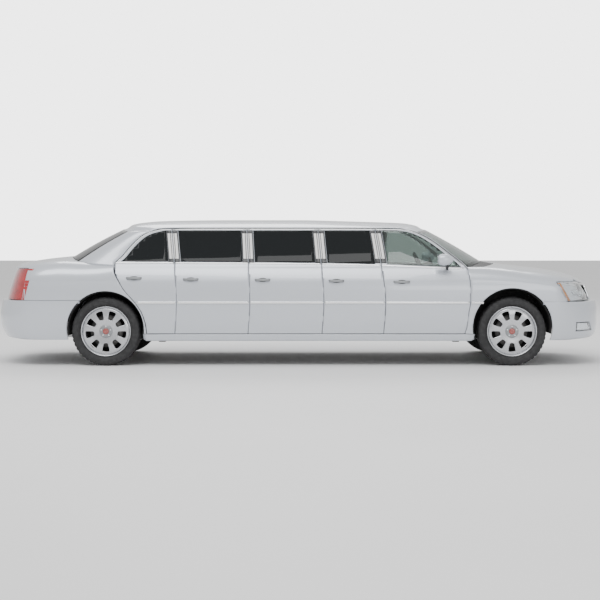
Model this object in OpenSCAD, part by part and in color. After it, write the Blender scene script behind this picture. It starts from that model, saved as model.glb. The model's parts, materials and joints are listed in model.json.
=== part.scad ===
/* [Overall] */
// Distance between the front and rear axles
wheelbase = 4080; // [3500:10:4900]
// Length ahead of the front axle
front_overhang = 990; // [960:10:1080]
// Length behind the rear axle
rear_overhang = 1190; // [1160:10:1280]
// Width over the doors, without the mirrors
body_width = 1900; // [1700:10:2200]
// Height of the middle of the roof
roof_height = 1472; // [1420:2:1700]
// Height of the underside of the sill
sill_height = 236; // [216:2:250]
// Height of the window line amidships
belt_height = 1010; // [990:2:1030]

/* [Wheels] */
// Diameter of the tyres
tyre_d = 690; // [640:2:700]
// Width of the tyres
tyre_w = 235; // [205:5:245]
// Diameter of the wheel rims where the tyre seats
rim_d = 504; // [440:2:510]
// Number of spokes
spokes = 9; // [7:1:11]
// How far the tyre's outer face lies inside the door skin
tyre_inset = 35; // [30:1:60]
// Radius of the axle stubs that the wheels turn on
stub_r = 24; // [18:1:30]
// Radial running clearance of a wheel on its stub
stub_clear = 0.4; // [0.2:0.1:0.8]
// Radius of the brake discs
disc_r = 165; // [140:5:175]

/* [Doors] */
// Width of the gaps between panels
gap = 9; // [8:0.5:12]
// Thickness of a door's outer shell and window frame
shell_t = 28; // [24:1:30]
// Thickness of a whole door below the window
door_t = 110; // [90:1:120]
// Distance from the door's front edge back to its hinge axis
hinge_back = 30; // [28:1:36]
// Distance from the widest skin in to the hinge axis
hinge_in = 14; // [13:1:16]
// Radius of a hinge pin
pin_r = 4; // [3:0.5:5]
// Radial clearance of a hinge pin
pin_clear = 0.4; // [0.3:0.1:0.6]
// Width of the window frame on each side of a door gap
frame_w = 60; // [50:1:70]
// Thickness of the window glass
glass_t = 5; // [4:0.5:6]
// How deep the glass lies behind the skin
glass_in = 6; // [4:1:10]

/* [Panels] */
// Thickness of the fixed outer panels
panel_t = 24; // [20:1:26]
// Radius of the front wheel arches
front_arch_r = 400; // [390:2:404]
// Height of the front arches' centres
front_arch_z = 382; // [376:1:386]
// Radius of the rear wheel arches
rear_arch_r = 388; // [384:1:392]
// Height of the rear arches' centres
rear_arch_z = 364; // [360:1:368]
// Thickness of the floor
floor_t = 40; // [30:1:60]

/* [Mounts] */
// Distance between the number plate's holes, across
plate_hole_x = 178; // [160:1:200]
// Distance between the number plate's holes, up
plate_hole_z = 121; // [100:1:130]
// Radius of the number plate's holes
plate_hole_r = 3; // [2.5:0.5:4]
// Side of the square jacking pads under the sills
jack_pad = 70; // [60:1:90]

/* [Hidden] */
$fn = 64;

seat_gap = 0.3;
half_w = body_width / 2;
total = wheelbase + front_overhang + rear_overhang;
xf = total / 2 - front_overhang;
xr = -total / 2 + rear_overhang;
nose_x = total / 2 - 2;
tail_x = -total / 2 + 2;
hub_z = tyre_d / 2;
tyre_y = half_w - tyre_inset - tyre_w / 2;
cant_z = roof_height - 92;
door_low = 326;
seam_front = 637;
seam_rear = 655;
// Lines between doors: share of the run from the front door's front edge to the rear door's
door_shares = [0, 0.289, 0.499, 0.751, 1];
door_lean = [0, -95, -57, -38, -69];
cabin_front = xf - 423;
cabin_rear = xr + 713;
hinge_z = [470, 760];
hinge_h = 36;
pocket_h = 46;
boss_r = 8;
pillar_half = 45;
pillar_in = 70;
pillar_out = 118;
slant = 0.5;
// Roof rails, and how far the doors' tops lie below the roof's edge
rail_low = cant_z - 26;
door_top = cant_z - 6;
// Extra drop of the doors' sloping edges above the window line, so that the gap stays even
slope_drop = 6;
// Floor above the sill's underside
floor_up = 20;
bulkhead_x = cabin_front + 5;
bulkhead_t = 20;
grille_half = 372;
// Inset of the body side at each height, from the widest skin
side_inset = [
    [sill_height, 62], [sill_height + 26, 42], [330, 26], [450, 9], [560, 2], [640, 0],
    [760, 3], [836, 14], [905, 38], [968, 70], [belt_height, 100], [cant_z, 232]];
side_rows = [for (p = side_inset) p[0]];

// ---- shared shape functions ----
function mix(a, b, t) = a + (b - a) * t;
function side_y(z) = half_w - lookup(z, side_inset);
function belt(x) = belt_height + lookup(x, [[xr + 110, 20], [0, 8], [820, -7], [xf - 500, -38]]);
function gap_x(i) = mix(cabin_front, cabin_rear, door_shares[i]);
// Line between doors at a height
function gap_line(i, z) = gap_x(i) + lookup(z, [[door_low, -18], [634, 0], [belt_height,
    0.4 * door_lean[i]],
    [cant_z, door_lean[i]]]);
// Front edge of the front door
front_edge = [[door_low, -56], [390, -36], [543, -17], [645, 0], [800, 0], [900, -10], [960, -22],
    [1030, -77], [1128, -197], [1233, -332], [1318, -472], [1364, -607], [cant_z, -742]];
// Rear edge of the rear door
rear_edge = [[door_low, 413], [400, 405], [520, 370], [620, 310], [690, 250], [750, 195], [836, 140],
    [900, 105], [1023, 80], [1100, 150], [1212, 240], [1308, 344], [1345, 420], [cant_z, 566]];
function front_line(z) = cabin_front + lookup(z, front_edge);
function rear_line(z) = xr + lookup(z, rear_edge);
// Rounded plan of the body's ends: angle 0 is the side, 90 the middle; in is a depth below the skin
round_front = xf + 360;
round_rear = xr - 560;
function corner(t, n) = t <= 0 ? 1 : pow(max(0, 1 - pow(t, n)), 1 / n);
function power(v, n) = v <= 0 ? 0 : pow(v, 2 / n);
function nose_set(z) = lookup(z, [[263, 55], [315, 13], [413, 0], [490, 0], [556, 2], [637, 16]]);
function face_set(z) = lookup(z, [[600, 80], [637, 98], [700, 122], [807, 190], [860, 240]]);
function tail_set(z) = lookup(z, [[283, 64], [403, 10], [491, 0], [583, 15], [655, 26]]);
function back_set(z) = lookup(z, [[600, 72], [655, 80], [752, 107], [873, 145], [960, 178], [1023, 211]]);
function front_wrap(a, z, set, in) = a < 0
    ? [round_front + a * 10, side_y(z) - in, z]
    : [round_front + (nose_x - set - round_front - in) * power(sin(a), 2.4),
        (side_y(z) - in) * power(cos(a), 2.4), z];
function rear_wrap(a, z, set, in) = a < 0
    ? [round_rear - a * 10, side_y(z) - in, z]
    : [round_rear + (tail_x + set - round_rear + in) * power(sin(a), 2.8),
        (side_y(z) - in) * power(cos(a), 2.8), z];

// Closed solid between an outer and an inner grid of points
module grid_solid(outer, inner, flip = false) {
    m = len(outer);
    n = len(outer[0]);
    points = [for (g = [outer, inner]) for (row = g) for (p = row) p];
    function id(g, i, j) = g * m * n + i * n + j;
    function quad(a, b, c, d) = [[a, b, c], [a, c, d]];
    skin = [for (i = [0:m - 2]) for (j = [0:n - 2]) each concat(
        quad(id(0, i, j), id(0, i + 1, j), id(0, i + 1, j + 1), id(0, i, j + 1)),
        quad(id(1, i, j), id(1, i, j + 1), id(1, i + 1, j + 1), id(1, i + 1, j)))];
    ends = [for (j = [0:n - 2]) each concat(
        quad(id(0, 0, j), id(0, 0, j + 1), id(1, 0, j + 1), id(1, 0, j)),
        quad(id(0, m - 1, j + 1), id(0, m - 1, j), id(1, m - 1, j), id(1, m - 1, j + 1)))];
    sides = [for (i = [0:m - 2]) each concat(
        quad(id(0, i + 1, 0), id(0, i, 0), id(1, i, 0), id(1, i + 1, 0)),
        quad(id(0, i, n - 1), id(0, i + 1, n - 1), id(1, i + 1, n - 1), id(1, i, n - 1)))];
    faces = concat(skin, ends, sides);
    polyhedron(points, flip ? [for (f = faces) [f[2], f[1], f[0]]] : faces);
}

// The same on the left and right
module both_sides() {
    children();
    mirror([0, 1, 0]) children();
}

// Slab of the body side between two depths, over a run of x
module side_slab(x0, x1, z0, z1, a, b) {
    rows = concat([z0], [for (z = side_rows) if (z > z0 && z < z1) z], [z1]);
    translate([x0, 0, 0]) rotate([90, 0, 90]) linear_extrude(x1 - x0)
        polygon(concat([for (z = rows) [side_y(z) - a, z]],
            [for (k = [len(rows) - 1:-1:0]) [side_y(rows[k]) - b, rows[k]]]));
}

// Prism across the body side; each row is [rear x, rear z, front x, front z]
module side_prism(rows, lean, deep = 260) {
    out = 90;
    function at(x, z, depth) = [x + lean * depth, side_y(z) - depth, z];
    outer = [for (r = rows) [at(r[2], r[3], -out), at(r[0], r[1], -out)]];
    inner = [for (r = rows) [at(r[2], r[3], deep), at(r[0], r[1], deep)]];
    grid_solid(outer, inner);
}

module arch_cut(grow = 0) {
    for (a = [[xf, front_arch_z, front_arch_r], [xr, rear_arch_z, rear_arch_r]])
        translate([a[0], 460, a[1]]) rotate([-90, 0, 0]) cylinder(r = a[2] + grow, h = 600, $fn = 96);
}

// ---- doors, numbered from the front; built for the left side ----
// Numbers in rising order, each once
function rising(v) = len(v) < 2 ? v : concat(rising([for (a = v) if (a < v[0]) a]), [v[0]],
    rising([for (a = v) if (a > v[0]) a]));
function door_heights(i) = rising(concat([door_low, 634, cant_z],
    [for (z = side_rows) if (z > door_low + 10) z],
    [for (p = i == 1 ? front_edge : i == 5 ? rear_edge : []) if (p[0] > door_low) p[0]]));
function drop_at(z) = z > belt_height ? slope_drop : 0;
function door_rows(i, g) = [for (z = door_heights(i)) [
    (i == 5 ? rear_line(z + drop_at(z)) : gap_line(i, z)) + g, z,
    (i == 1 ? front_line(z + drop_at(z)) : gap_line(i - 1, z)) - g, z]];
function door_hinge(i) = [gap_x(i - 1) - gap / 2 - hinge_back, half_w - hinge_in];

// Window opening of a door; grow widens it all round
function glass_low(x) = belt(x) + 16;
function window_rows(i, grow) =
    let (zr = glass_low(i == 5 ? xr + 110 : gap_line(i, belt_height)),
        zf = glass_low(i == 1 ? xf - 500 : gap_line(i - 1, belt_height)),
        top = cant_z - 20)
    i == 1 ? [for (v = [0, 0.15, 0.35, 0.6, 0.8, 0.92, 1])
        let (z = mix(zf, top, v), b = mix(zr, top, v))
        [gap_line(1, b) + frame_w - grow, b + (v == 0 ? -grow : v == 1 ? grow : 0),
            front_line(z + 14) - 34 + grow, z + (v == 0 ? -grow : v == 1 ? grow : 0)]]
    : i == 5 ? [for (v = [0, 0.22, 0.5, 0.75, 0.9, 1])
        let (z = mix(zr, top, v), b = mix(zf, top, v))
        [rear_line(z + 14) + 34 - grow, z + (v == 0 ? -grow : v == 1 ? grow : 0),
            gap_line(4, b) - frame_w + grow, b + (v == 0 ? -grow : v == 1 ? grow : 0)]]
    : [[gap_line(i, zr) + frame_w - grow, zr - grow, gap_line(i - 1, zf) - frame_w + grow, zf - grow],
        [gap_line(i, top) + frame_w - grow, top + grow, gap_line(i - 1, top) - frame_w + grow, top + grow]];

module door_shell(i) {
    intersection() {
        side_slab(cabin_rear - 900, cabin_front + 80, door_low, door_top, 0, shell_t);
        side_prism(door_rows(i, gap / 2), slant);
    }
}

module door_box(i) {
    back = i == 5 ? rear_line(door_low) + 70 : gap_x(i) + 65;
    low = door_low + 24;
    high = belt_height - 76;
    difference() {
        side_slab(back, gap_x(i - 1) - gap / 2 - hinge_back - 20, low, high, shell_t - 1, door_t);
        if (i == 1) translate([cabin_front - 260, 0, 900]) cube([400, 1200, 200]);
        if (i == 5) translate([xr, 460, rear_arch_z]) rotate([-90, 0, 0])
            cylinder(r = rear_arch_r + 60, h = 600, $fn = 96);
    }
}

// Pocket for a root hinge arm, open to the door's front edge and to its inside
module hinge_pocket(i) {
    h = door_hinge(i);
    for (z = hinge_z)
        translate([h[0] - 17, h[1] - 200, z - pocket_h / 2]) cube([140, 209, pocket_h]);
}

module door(i) {
    h = door_hinge(i);
    difference() {
        union() {
            door_shell(i);
            door_box(i);
        }
        side_prism(window_rows(i, 0), 0, 60);
        hinge_pocket(i);
    }
    for (z = hinge_z)
        translate([h[0], h[1], z - pocket_h / 2]) cylinder(r = pin_r, h = pocket_h);
    if (i == 1) mirror_housing();
}

// Door mirror: a foot on the door at the front of the window, and a rounded housing
module mirror_housing() {
    z = belt_height + 62;
    x = cabin_front - 262;
    intersection() {
        hull() {
            translate([x + 66, half_w + 30, z - 8]) sphere(r = 46, $fn = 24);
            translate([x - 46, half_w + 40, z + 6]) sphere(r = 56, $fn = 24);
            translate([x + 20, half_w + 20, z - 24]) sphere(r = 46, $fn = 24);
        }
        translate([x - 80, half_w - 60, z - 90]) cube([240, 200, 180]);
    }
    translate([x + 20, side_y(belt_height - 30) - 6, belt_height - 40]) cube([70, 88, 44]);
}

module door_glass(i) {
    intersection() {
        side_slab(cabin_rear - 900, cabin_front + 80, belt_height - 60, door_top, glass_in,
            glass_in + glass_t);
        side_prism(window_rows(i, -0.05), 0, 60);
    }
}

module right_door(i) { color("gainsboro") mirror([0, 1, 0]) door(i); }
module left_door(i) { color("gainsboro") door(i); }
module right_window(i) { color("dimgray") mirror([0, 1, 0]) door_glass(i); }
module left_window(i) { color("dimgray") door_glass(i); }

// Posts inside the door gaps, joined by sill and roof rails, with the hinge arms
module post(i) {
    x = gap_x(i - 1);
    h = door_hinge(i);
    // the first post ends where the front wheel's liner begins
    side_slab(x - pillar_half, i == 1 ? bulkhead_x + 17 : x + pillar_half, sill_height + 110,
        belt_height - 70, pillar_in, pillar_out);
    if (i > 1) {
        intersection() {
            side_slab(x - 300, x + 300, belt_height - 72, rail_low, pillar_in, pillar_in + 40);
            side_prism([for (z = [belt_height - 80, cant_z + 10])
                [gap_line(i - 1, z) - 32, z, gap_line(i - 1, z) + 32, z]], 0, 260);
        }
    }
    for (z = hinge_z) hinge_arm(h, z);
}

module hinge_arm(h, z) {
    difference() {
        union() {
            translate([h[0], h[1], z - hinge_h / 2]) cylinder(r = boss_r, h = hinge_h);
            translate([h[0] - 7, h[1] - 80, z - hinge_h / 2]) cube([14, 80, hinge_h]);
        }
        translate([h[0], h[1], z - hinge_h]) cylinder(r = pin_r + pin_clear, h = 2 * hinge_h);
    }
}

module door_pillars() {
    color("dimgray") both_sides() {
        for (i = [1:5]) post(i);
        side_slab(cabin_rear - 300, bulkhead_x + 17, sill_height + floor_up + floor_t, door_low + 14,
            pillar_in - 26, pillar_out + 30);
    }
}

// Sills under the doors, with square jacking pads
module rocker_panels() {
    color("gainsboro") both_sides() {
        difference() {
            side_slab(xr + 380, xf - 388, sill_height + 14, door_low - gap, 0, pillar_in - 27);
            arch_cut();
        }
        for (x = [xr + 560, xf - 560])
            translate([x - jack_pad / 2, half_w - 110 - jack_pad, sill_height]) cube([jack_pad,
                jack_pad, floor_up]);
        side_slab(xr + 400, xf - 408, sill_height + 14, sill_height + floor_up + floor_t, pillar_in - 27,
            pillar_in + 3);
    }
}

// ---- roof, glass and pillars at the ends ----
roof_front = xf - 799;
roof_rear = xr + 71;
function roof_mid(x) = roof_height + lookup(x, [[roof_rear, -96], [xr + 159, -51], [xr + 281, -27],
    [xr + 487, -10], [xr + 760, -4], [xr + 1169, 0], [xf - 2136, 0], [xf - 1667, -11], [xf - 1259, -23],
    [xf - 1053, -32], [xf - 917, -54], [xf - 838, -82], [roof_front, -102]]);
function roof_side(w) = lookup(w, [[0, cant_z - 22], [0.028, cant_z - 2], [0.1, cant_z + 4],
    [0.9, cant_z + 4], [0.963, cant_z], [1, cant_z - 20]]);
function shield(u, v) = [
    mix(xf - 223, roof_front, v) - mix(205, 125, v) * u * u,
    u * mix(735, 585, v) * half_w / 950,
    mix(belt_height + 31, roof_height - 102, v) + 8 * sin(180 * v) - mix(55, 22, v) * u * u];
function back_light(u, v) = [
    mix(xr - 453, roof_rear, v) + mix(150, 110, v) * u * u,
    u * mix(700, 590, v) * half_w / 950,
    mix(belt_height + 81, roof_height - 96, v) + 10 * sin(180 * v) - mix(45, 25, v) * u * u];
function lerp3(a, b, t) = a + (b - a) * t;
function curve3(a, b, c, t) = lerp3(lerp3(a, b, t), lerp3(b, c, t), t);
// Corners where the roof meets the posts
post_front_top = [xf - 1010, side_y(cant_z - 22) , cant_z - 20];
post_rear_top = [xr + 440, side_y(cant_z - 22), cant_z - 22];
function roof_end(u, end, top) = let (s = sign(u), a = abs(u))
    a <= 0.8 ? (top == 1 ? shield(u / 0.8, 1) : back_light(u / 0.8, 1))
    : let (p = lerp3(end, top == 1 ? post_front_top : post_rear_top, (a - 0.8) / 0.2)) [p[0],
        s * p[1], p[2]];
function roof_at(u, w) =
    let (f = roof_end(u, shield(1, 1), 1), r = roof_end(u, back_light(1, 1), 0),
        x = mix(r[0], f[0], w), x0 = mix(roof_rear, roof_front, w), zs = roof_side(w), a = abs(u),
        blend = min(1, min(w, 1 - w) / 0.028),
        y = mix(mix(r[1], f[1], round(w)), u * side_y(min(zs, cant_z)), blend),
        z = mix(mix(r[2], f[2], round(w)), roof_mid(x0) - (roof_mid(x0) - zs) * pow(a, 3), blend))
    [x, y, z];
roof_w = [0, 0.028, 0.065, 0.13, 0.215, 0.342, 0.58, 0.73, 0.857, 0.921, 0.963, 1];
roof_u = [-1, -0.93, -0.8, -0.55, -0.28, 0, 0.28, 0.55, 0.8, 0.93, 1];

module roof() {
    outer = [for (w = roof_w) [for (u = roof_u) roof_at(u, w)]];
    inner = [for (w = roof_w) [for (u = roof_u) let (p = roof_at(u, w))
        [p[0], p[1] * (1 - panel_t / 760), p[2] - 1 - (panel_t - 1) * (1 - pow(abs(u), 6))]]];
    color("gainsboro") grid_solid(outer, inner, true);
    color("gainsboro") both_sides()
        translate([xr + 500, side_y(cant_z) - 120, rail_low]) cube([xf - xr - 1600, 66, 40]);
}

module pane(points, t) {
    outer = points;
    inner = [for (row = points) [for (p = row) [p[0], p[1] * 0.992, p[2] - t * 1.6]]];
    grid_solid(outer, inner, true);
}

module windshield() {
    color("darkslategray")
        pane([for (v = [1:-1 / 3:0]) [for (u = [-1:0.25:1]) shield(u * 0.995, 0.004 + v * 0.99)]], glass_t);
}
module rear_window() {
    color("dimgray")
        pane([for (v = [0:1 / 3:1]) [for (u = [-1:0.25:1]) back_light(u * 0.995,
            0.004 + v * 0.99)]], glass_t);
}

// Posts beside the windshield, from the fender up to the roof
function front_post(t, v) =
    let (z = mix(belt_height - 34, cant_z - 20, v), a = [front_line(z) + gap / 2 + 1, side_y(z), z],
        b = shield(1, v) + [0.4, 0, 0], c = [mix(a[0], b[0], 0.75), mix(side_y(z), b[1], 0.1),
            mix(z, b[2], 0.7)])
    curve3(b, c, a, t);
module windshield_pillars() {
    outer = [for (v = [0:0.125:1]) [for (t = [0:0.25:1]) front_post(t, v)]];
    inner = [for (v = [0:0.125:1]) [for (t = [0:0.25:1]) let (p = front_post(t, v))
        [p[0] - 8 * (1 - t) + slant * panel_t * t, p[1] - panel_t * (0.4 + 0.6 * t),
            p[2] - panel_t * (1 - t)]]];
    color("gainsboro") both_sides() grid_solid(outer, inner, false);
}

// Sail panel from the rear door's edge round to the rear window
function rear_post(t, v) =
    let (z = mix(belt_height - 8, cant_z - 22, v), a = [rear_line(z) - gap / 2 - 1, side_y(z), z],
        b = back_light(1, v) - [0.4, 0, 0], c = [mix(a[0], b[0], 0.8), side_y(z) - 4, mix(z, b[2], 0.3)])
    curve3(a, c, b, t);

// ---- hood, fenders and nose ----
function hood_mid(x) = belt_height + lookup(x, [[xf - 260, 22], [xf - 82, 9], [xf + 126, -18],
    [xf + 344, -41],
    [xf + 562, -78], [xf + 705, -111], [xf + 814, -155], [xf + 863, -187]]);
function hood_edge(x) = half_w / 950 * lookup(x, [[xf - 430, 770], [xf, 735], [xf + 400, 690],
    [xf + 700, 620],
    [xf + 860, 540]]);
hood_crown = 42;
function shoulder(x) = lookup(x, [[round_rear - 600, 860], [xr, 850], [xr + 700, 836], [xf - 400,
    836], [xf, 826],
    [xf + 500, 770], [xf + 900, 700]]);
// Front quarter of the body: s runs from the sill to the shoulder (1) and over to the hood gap (2)
function front_side(x, s) =
    let (zs = shoulder(x), ye = hood_edge(x) + gap / 2, ze = hood_mid(x) - hood_crown, low = 250,
        z = s <= 1 ? mix(low, zs, s) : zs + (ze - zs) * sin(90 * (s - 1)),
        zl = min(z, zs),
        yl = side_y(zl) * corner((x - round_front) / (nose_x - face_set(zl) - round_front), 2.4))
    [x, s <= 1 ? yl : ye + (yl - ye) * cos(90 * (s - 1)), z];
fender_s = [0, 0.15, 0.34, 0.53, 0.66, 0.87, 1, 1.2, 1.4, 1.6, 1.8, 2];
fender_x = [xf - 440, xf - 300, xf - 150, xf, xf + 150, xf + 300, xf + 400, xf + 480, xf + 560];

module side_shell(point, xs, ss) {
    outer = [for (x = xs) [for (s = ss) point(x, s)]];
    inner = [for (x = xs) [for (s = ss) let (p = point(x, s), c = min(1, max(0, s - 1)))
        [p[0], p[1] - panel_t * (1 - 0.9 * c), p[2] - panel_t * c]]];
    grid_solid(outer, inner);
}

module front_fenders() {
    color("gainsboro") both_sides() difference() {
        side_shell(function(x, s) front_side(x, s), fender_x, fender_s);
        // space of the front door
        side_prism([for (z = door_heights(1)) if (z < belt_height + 40)
            let (low = z == door_low ? z - 12 : z) [cabin_front - 800, low, front_line(z) + gap / 2, low]],
            slant, 120);
        translate([xf - 600, 500, 200]) cube([600 - 372, 600, door_low - 200 - gap / 2]);
        arch_cut();
        translate([xf, 600, 100]) cube([900, 500, seam_front + 5 + seat_gap - 100]);
        lamp_prism(seam_front - 10, 900, -1.5);
    }
}

// Space of the headlamp, slanted as its outer edge is
lamp_top_x = xf + 455;
lamp_low_x = xf + 560;
module lamp_prism(z0, z1, grow) {
    h = z1 - z0;
    run = (lamp_low_x - lamp_top_x) / 200;
    side = [for (z = [z1, z0]) [lamp_low_x - run * (z - seam_front) + grow, z]];
    translate([0, 1100, 0]) rotate([90, 0, 0]) linear_extrude(1100)
        polygon([side[0], side[1], [nose_x, z0], [nose_x, z1]]);
}

lip_x = xf + 863;
module hood() {
    us = [for (u = [-1:0.2:1]) u];
    ws = [0, 0.22, 0.44, 0.62, 0.76, 0.87, 0.95, 1];
    function at(u, w) =
        let (x0 = mix(xf - 82, lip_x, w), x = mix(xf - 82 - 190 * u * u, lip_x - 193 * pow(abs(u), 2.2), w))
        [x, u * (hood_edge(x) - gap / 2), mix(hood_mid(x0), hood_mid(x), u * u) - hood_crown * u * u];
    outer = [for (w = ws) [for (u = us) at(u, w)]];
    inner = [for (w = ws) [for (u = us) let (p = at(u, w)) [p[0] - 8 * w, p[1] * 0.985, p[2] - panel_t]]];
    color("gainsboro") grid_solid(outer, inner, true);
}

// Dark panel between the windshield and the hood
module cowl() {
    us = [for (u = [-1:0.25:1]) u];
    function back(u) = let (p = shield(u, 0)) [p[0] + 3, p[1], p[2] - 4];
    function front(u) = [xf - 82 - 190 * u * u - gap, u * (hood_edge(xf - 300) - gap),
        hood_mid(xf - 82 - 120 * u * u) - hood_crown * u * u - 6];
    outer = [for (t = [0:0.5:1]) [for (u = us) lerp3(back(u), front(u), t)]];
    inner = [for (t = [0:0.5:1]) [for (u = us) lerp3(back(u), front(u), t) - [0, 0, 30]]];
    color("dimgray") grid_solid(outer, inner, true);
}

// ---- tail ----
function deck_mid(x) = belt_height + lookup(x, [[tail_x + 203, 11], [tail_x + 480, 56], [xr - 465, 81]]);
function deck_edge(x) = half_w / 950 * lookup(x, [[tail_x + 203, 540], [xr - 710, 640], [xr - 465, 690],
    [xr - 303, 704], [xr + 82, 856]]);
function deck_side(x) = belt_height + lookup(x, [[tail_x + 203, -22], [xr - 710, 26], [xr - 465, 42],
    [xr - 303, 34], [xr + 82, -8]]);
function rear_side(x, s) =
    let (zs = shoulder(x), ye = deck_edge(x) + (x < xr - 303 ? gap / 2 : 0), ze = deck_side(x), low = 250,
        z = s <= 1 ? mix(low, zs, s) : zs + (ze - zs) * sin(90 * (s - 1)),
        zl = min(z, zs),
        yl = side_y(zl) * corner((round_rear - x) / (round_rear - tail_x - back_set(zl)), 2.8))
    [x, s <= 1 ? yl : ye + (yl - ye) * cos(90 * (s - 1)), z];
quarter_s = [0, 0.13, 0.33, 0.52, 0.65, 0.85, 1, 1.2, 1.4, 1.6, 1.8, 2];
quarter_x = [tail_x + 215, xr - 900, xr - 800, xr - 700, xr - 560, xr - 400, xr - 303, xr - 150,
    xr, xr + 100,
    xr + 250, xr + 430];

module tail_lamp_prism(z0, z1, grow) {
    translate([0, 1100, 0]) rotate([90, 0, 0]) linear_extrude(1100)
        polygon([[xr - 845 + grow, z0], [xr - 790 + grow, z1], [tail_x, z1], [tail_x, z0]]);
}
tail_lamp_top = belt_height - 36;

module quarter_panels() {
    color("gainsboro") both_sides() {
        difference() {
            side_shell(function(x, s) rear_side(x, s), quarter_x, quarter_s);
            side_prism([for (z = door_heights(5)) if (z < belt_height + 60)
                let (low = z == door_low ? z - 12 : z) [rear_line(z) - gap / 2, low, xr + 1200, low]],
                slant, 120);
            translate([xr + 370, 500, 200]) cube([400, 600, door_low - 200 - gap / 2]);
            arch_cut();
            translate([tail_x, 500, 100]) cube([xr - tail_x, 600, seam_rear + 1 + seat_gap - 100]);
            tail_lamp_prism(seam_rear - 20, tail_lamp_top + 3, 1.5);
        }
        sail();
    }
}

module sail() {
    vs = [0, 0.06, 0.2, 0.45, 0.7, 0.88, 0.98];
    ts = [for (t = [0:0.2:1]) t];
    outer = [for (v = vs) [for (t = ts) rear_post(t, v)]];
    inner = [for (v = vs) [for (t = ts) let (p = rear_post(t, v))
        [p[0] + 6 * t + slant * panel_t * (1 - t), p[1] - panel_t * (1 - 0.5 * t),
            p[2] - panel_t * 0.6 * t]]];
    grid_solid(outer, inner, false);
}

module trunk_lid() {
    // centre line from the rear window over the deck and down the back
    line = [[xr - 465, 81], [xr - 710, 56], [xr - 900, 27], [tail_x + 203, 11], [tail_x + 178, -20],
        [tail_x + 145, -137], [tail_x + 107, -258], [tail_x + 84, -342]];
    rise = [45, 32, 27, 26, 18, 6, 2, 0];
    bow = [150, 90, 40, 42, 46, 50, 50, 50];
    width = [690, 640, 575, 545, 520, 500, 495, 490];
    us = [for (u = [-1:0.2:1]) u];
    ids = [for (k = [0:len(line) - 1]) k];
    function at(k, u) = [line[k][0] + bow[k] * u * u, u * (half_w / 950 * width[k] - gap / 2),
        belt_height + line[k][1] - rise[k] * u * u];
    function inner_at(k, u) = let (p = at(k, u))
        [p[0] + (k > 3 ? panel_t : k == 3 ? panel_t * 0.7 : 0), p[1] * 0.975, p[2] - (k < 4 ? panel_t : 4)];
    outer = [for (k = ids) [for (u = us) at(k, u)]];
    inner = [for (k = ids) [for (u = us) inner_at(k, u)]];
    color("gainsboro") grid_solid(outer, inner, false);
}

module wrap_solid(point, angles, rows, t) {
    outer = [for (a = angles) [for (r = rows) point(a, r[0], r[1], 0)]];
    inner = [for (a = angles) [for (r = rows) point(a, r[0] - (r[2] == undef ? 0 : r[2]), r[1], t)]];
    grid_solid(outer, inner, false);
}
half_angles = [0, 10, 22, 36, 52, 70, 90];
function full_angles(start) = let (h = concat([start], half_angles), n = len(h))
    concat([for (k = [0:n - 2]) [h[k], 1]], [[90, 0]], [for (k = [n - 2:-1:0]) [h[k], -1]]);

// Bumper from one wheel arch round to the other; rows are height, setback and depth of the turned edge
module bumper_shell(front) {
    rows = front
        ? [[258, 330, -12], [266, 60, -10], [315, 13], [413, 0], [490, 0], [556, 2], [637, 16, 24],
            [641, 50, 27],
            [642, 96, 26]]
        : [[262, 330, -12], [283, 64, -10], [403, 10], [491, 0], [583, 15], [651, 26, 24], [655, 50, 27],
            [656, 78, 26]];
    function at(k, r, t) =
        let (z = r[0] - (t == 0 || r[2] == undef ? 0 : r[2]),
            p = front ? front_wrap(k[0], z, r[1], t) : rear_wrap(k[0], z, r[1], t))
        [p[0], p[1] * k[1], p[2]];
    angles = full_angles(front ? -6 : -22);
    grid_solid([for (k = angles) [for (r = rows) at(k, r, 0)]],
        [for (k = angles) [for (r = rows) at(k, r, panel_t)]], !front);
}
plate_z = 505;
fog_rows = [[348, 8], [380, 4], [430, 0]];
fog_angles = [24, 32, 40, 48];
module fog_cut() {
    wrap_solid(function(a, z, set, in) front_wrap(a, z, set, in), [22, 32, 40, 50],
        [[342, -30], [380, -30], [436, -30]], 110);
}
module front_bumper() {
    color("gainsboro") difference() {
        bumper_shell(true);
        both_sides() {
            arch_cut();
            fog_cut();
        }
    }
}
module rear_bumper() {
    color("gainsboro") difference() {
        bumper_shell(false);
        both_sides() {
            arch_cut();
            for (s = [-1, 1]) translate([tail_x - 5, plate_hole_x / 2, plate_z + s * plate_hole_z / 2])
                rotate([0, 90, 0]) cylinder(r = plate_hole_r, h = 60);
        }
    }
}

module grille() {
    ys = [for (k = [-2:2]) k / 2 * grille_half];
    zs = [seam_front + 11, 710, 790];
    function at(y, z) = [nose_x - 54 - 65 * (z - 600) / 207 - 30 * pow(y / grille_half, 2), y, z];
    color("silver") grid_solid([for (y = ys) [for (z = zs) at(y, z)]],
        [for (y = ys) [for (z = zs) at(y, z) - [150, 0, 0]]], true);
}

module headlamps() {
    color("lightgray") both_sides() {
        intersection() {
            wrap_solid(function(a, z, set, in) front_wrap(a, z, set, in), [6, 14, 24, 36, 50, 66],
                [for (z = [seam_front + 7, 700, 740, 770, 800]) [z, face_set(z)]], 110);
            lamp_prism(640, 900, 1.5);
        }
        wrap_solid(function(a, z, set, in) front_wrap(a, z, set, in), fog_angles, fog_rows, panel_t);
    }
}

module tail_lamps() {
    color("firebrick") both_sides() intersection() {
        mirror([1, 0, 0]) wrap_solid(function(a, z, set, in) let (p = rear_wrap(a, z, set,
            in)) [-p[0], p[1], p[2]],
            [10, 20, 30, 42, 56], [for (z = [664, 752, 873, tail_lamp_top]) [z, back_set(z)]], 80);
        tail_lamp_prism(seam_rear, tail_lamp_top, -1.5);
    }
}

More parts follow.
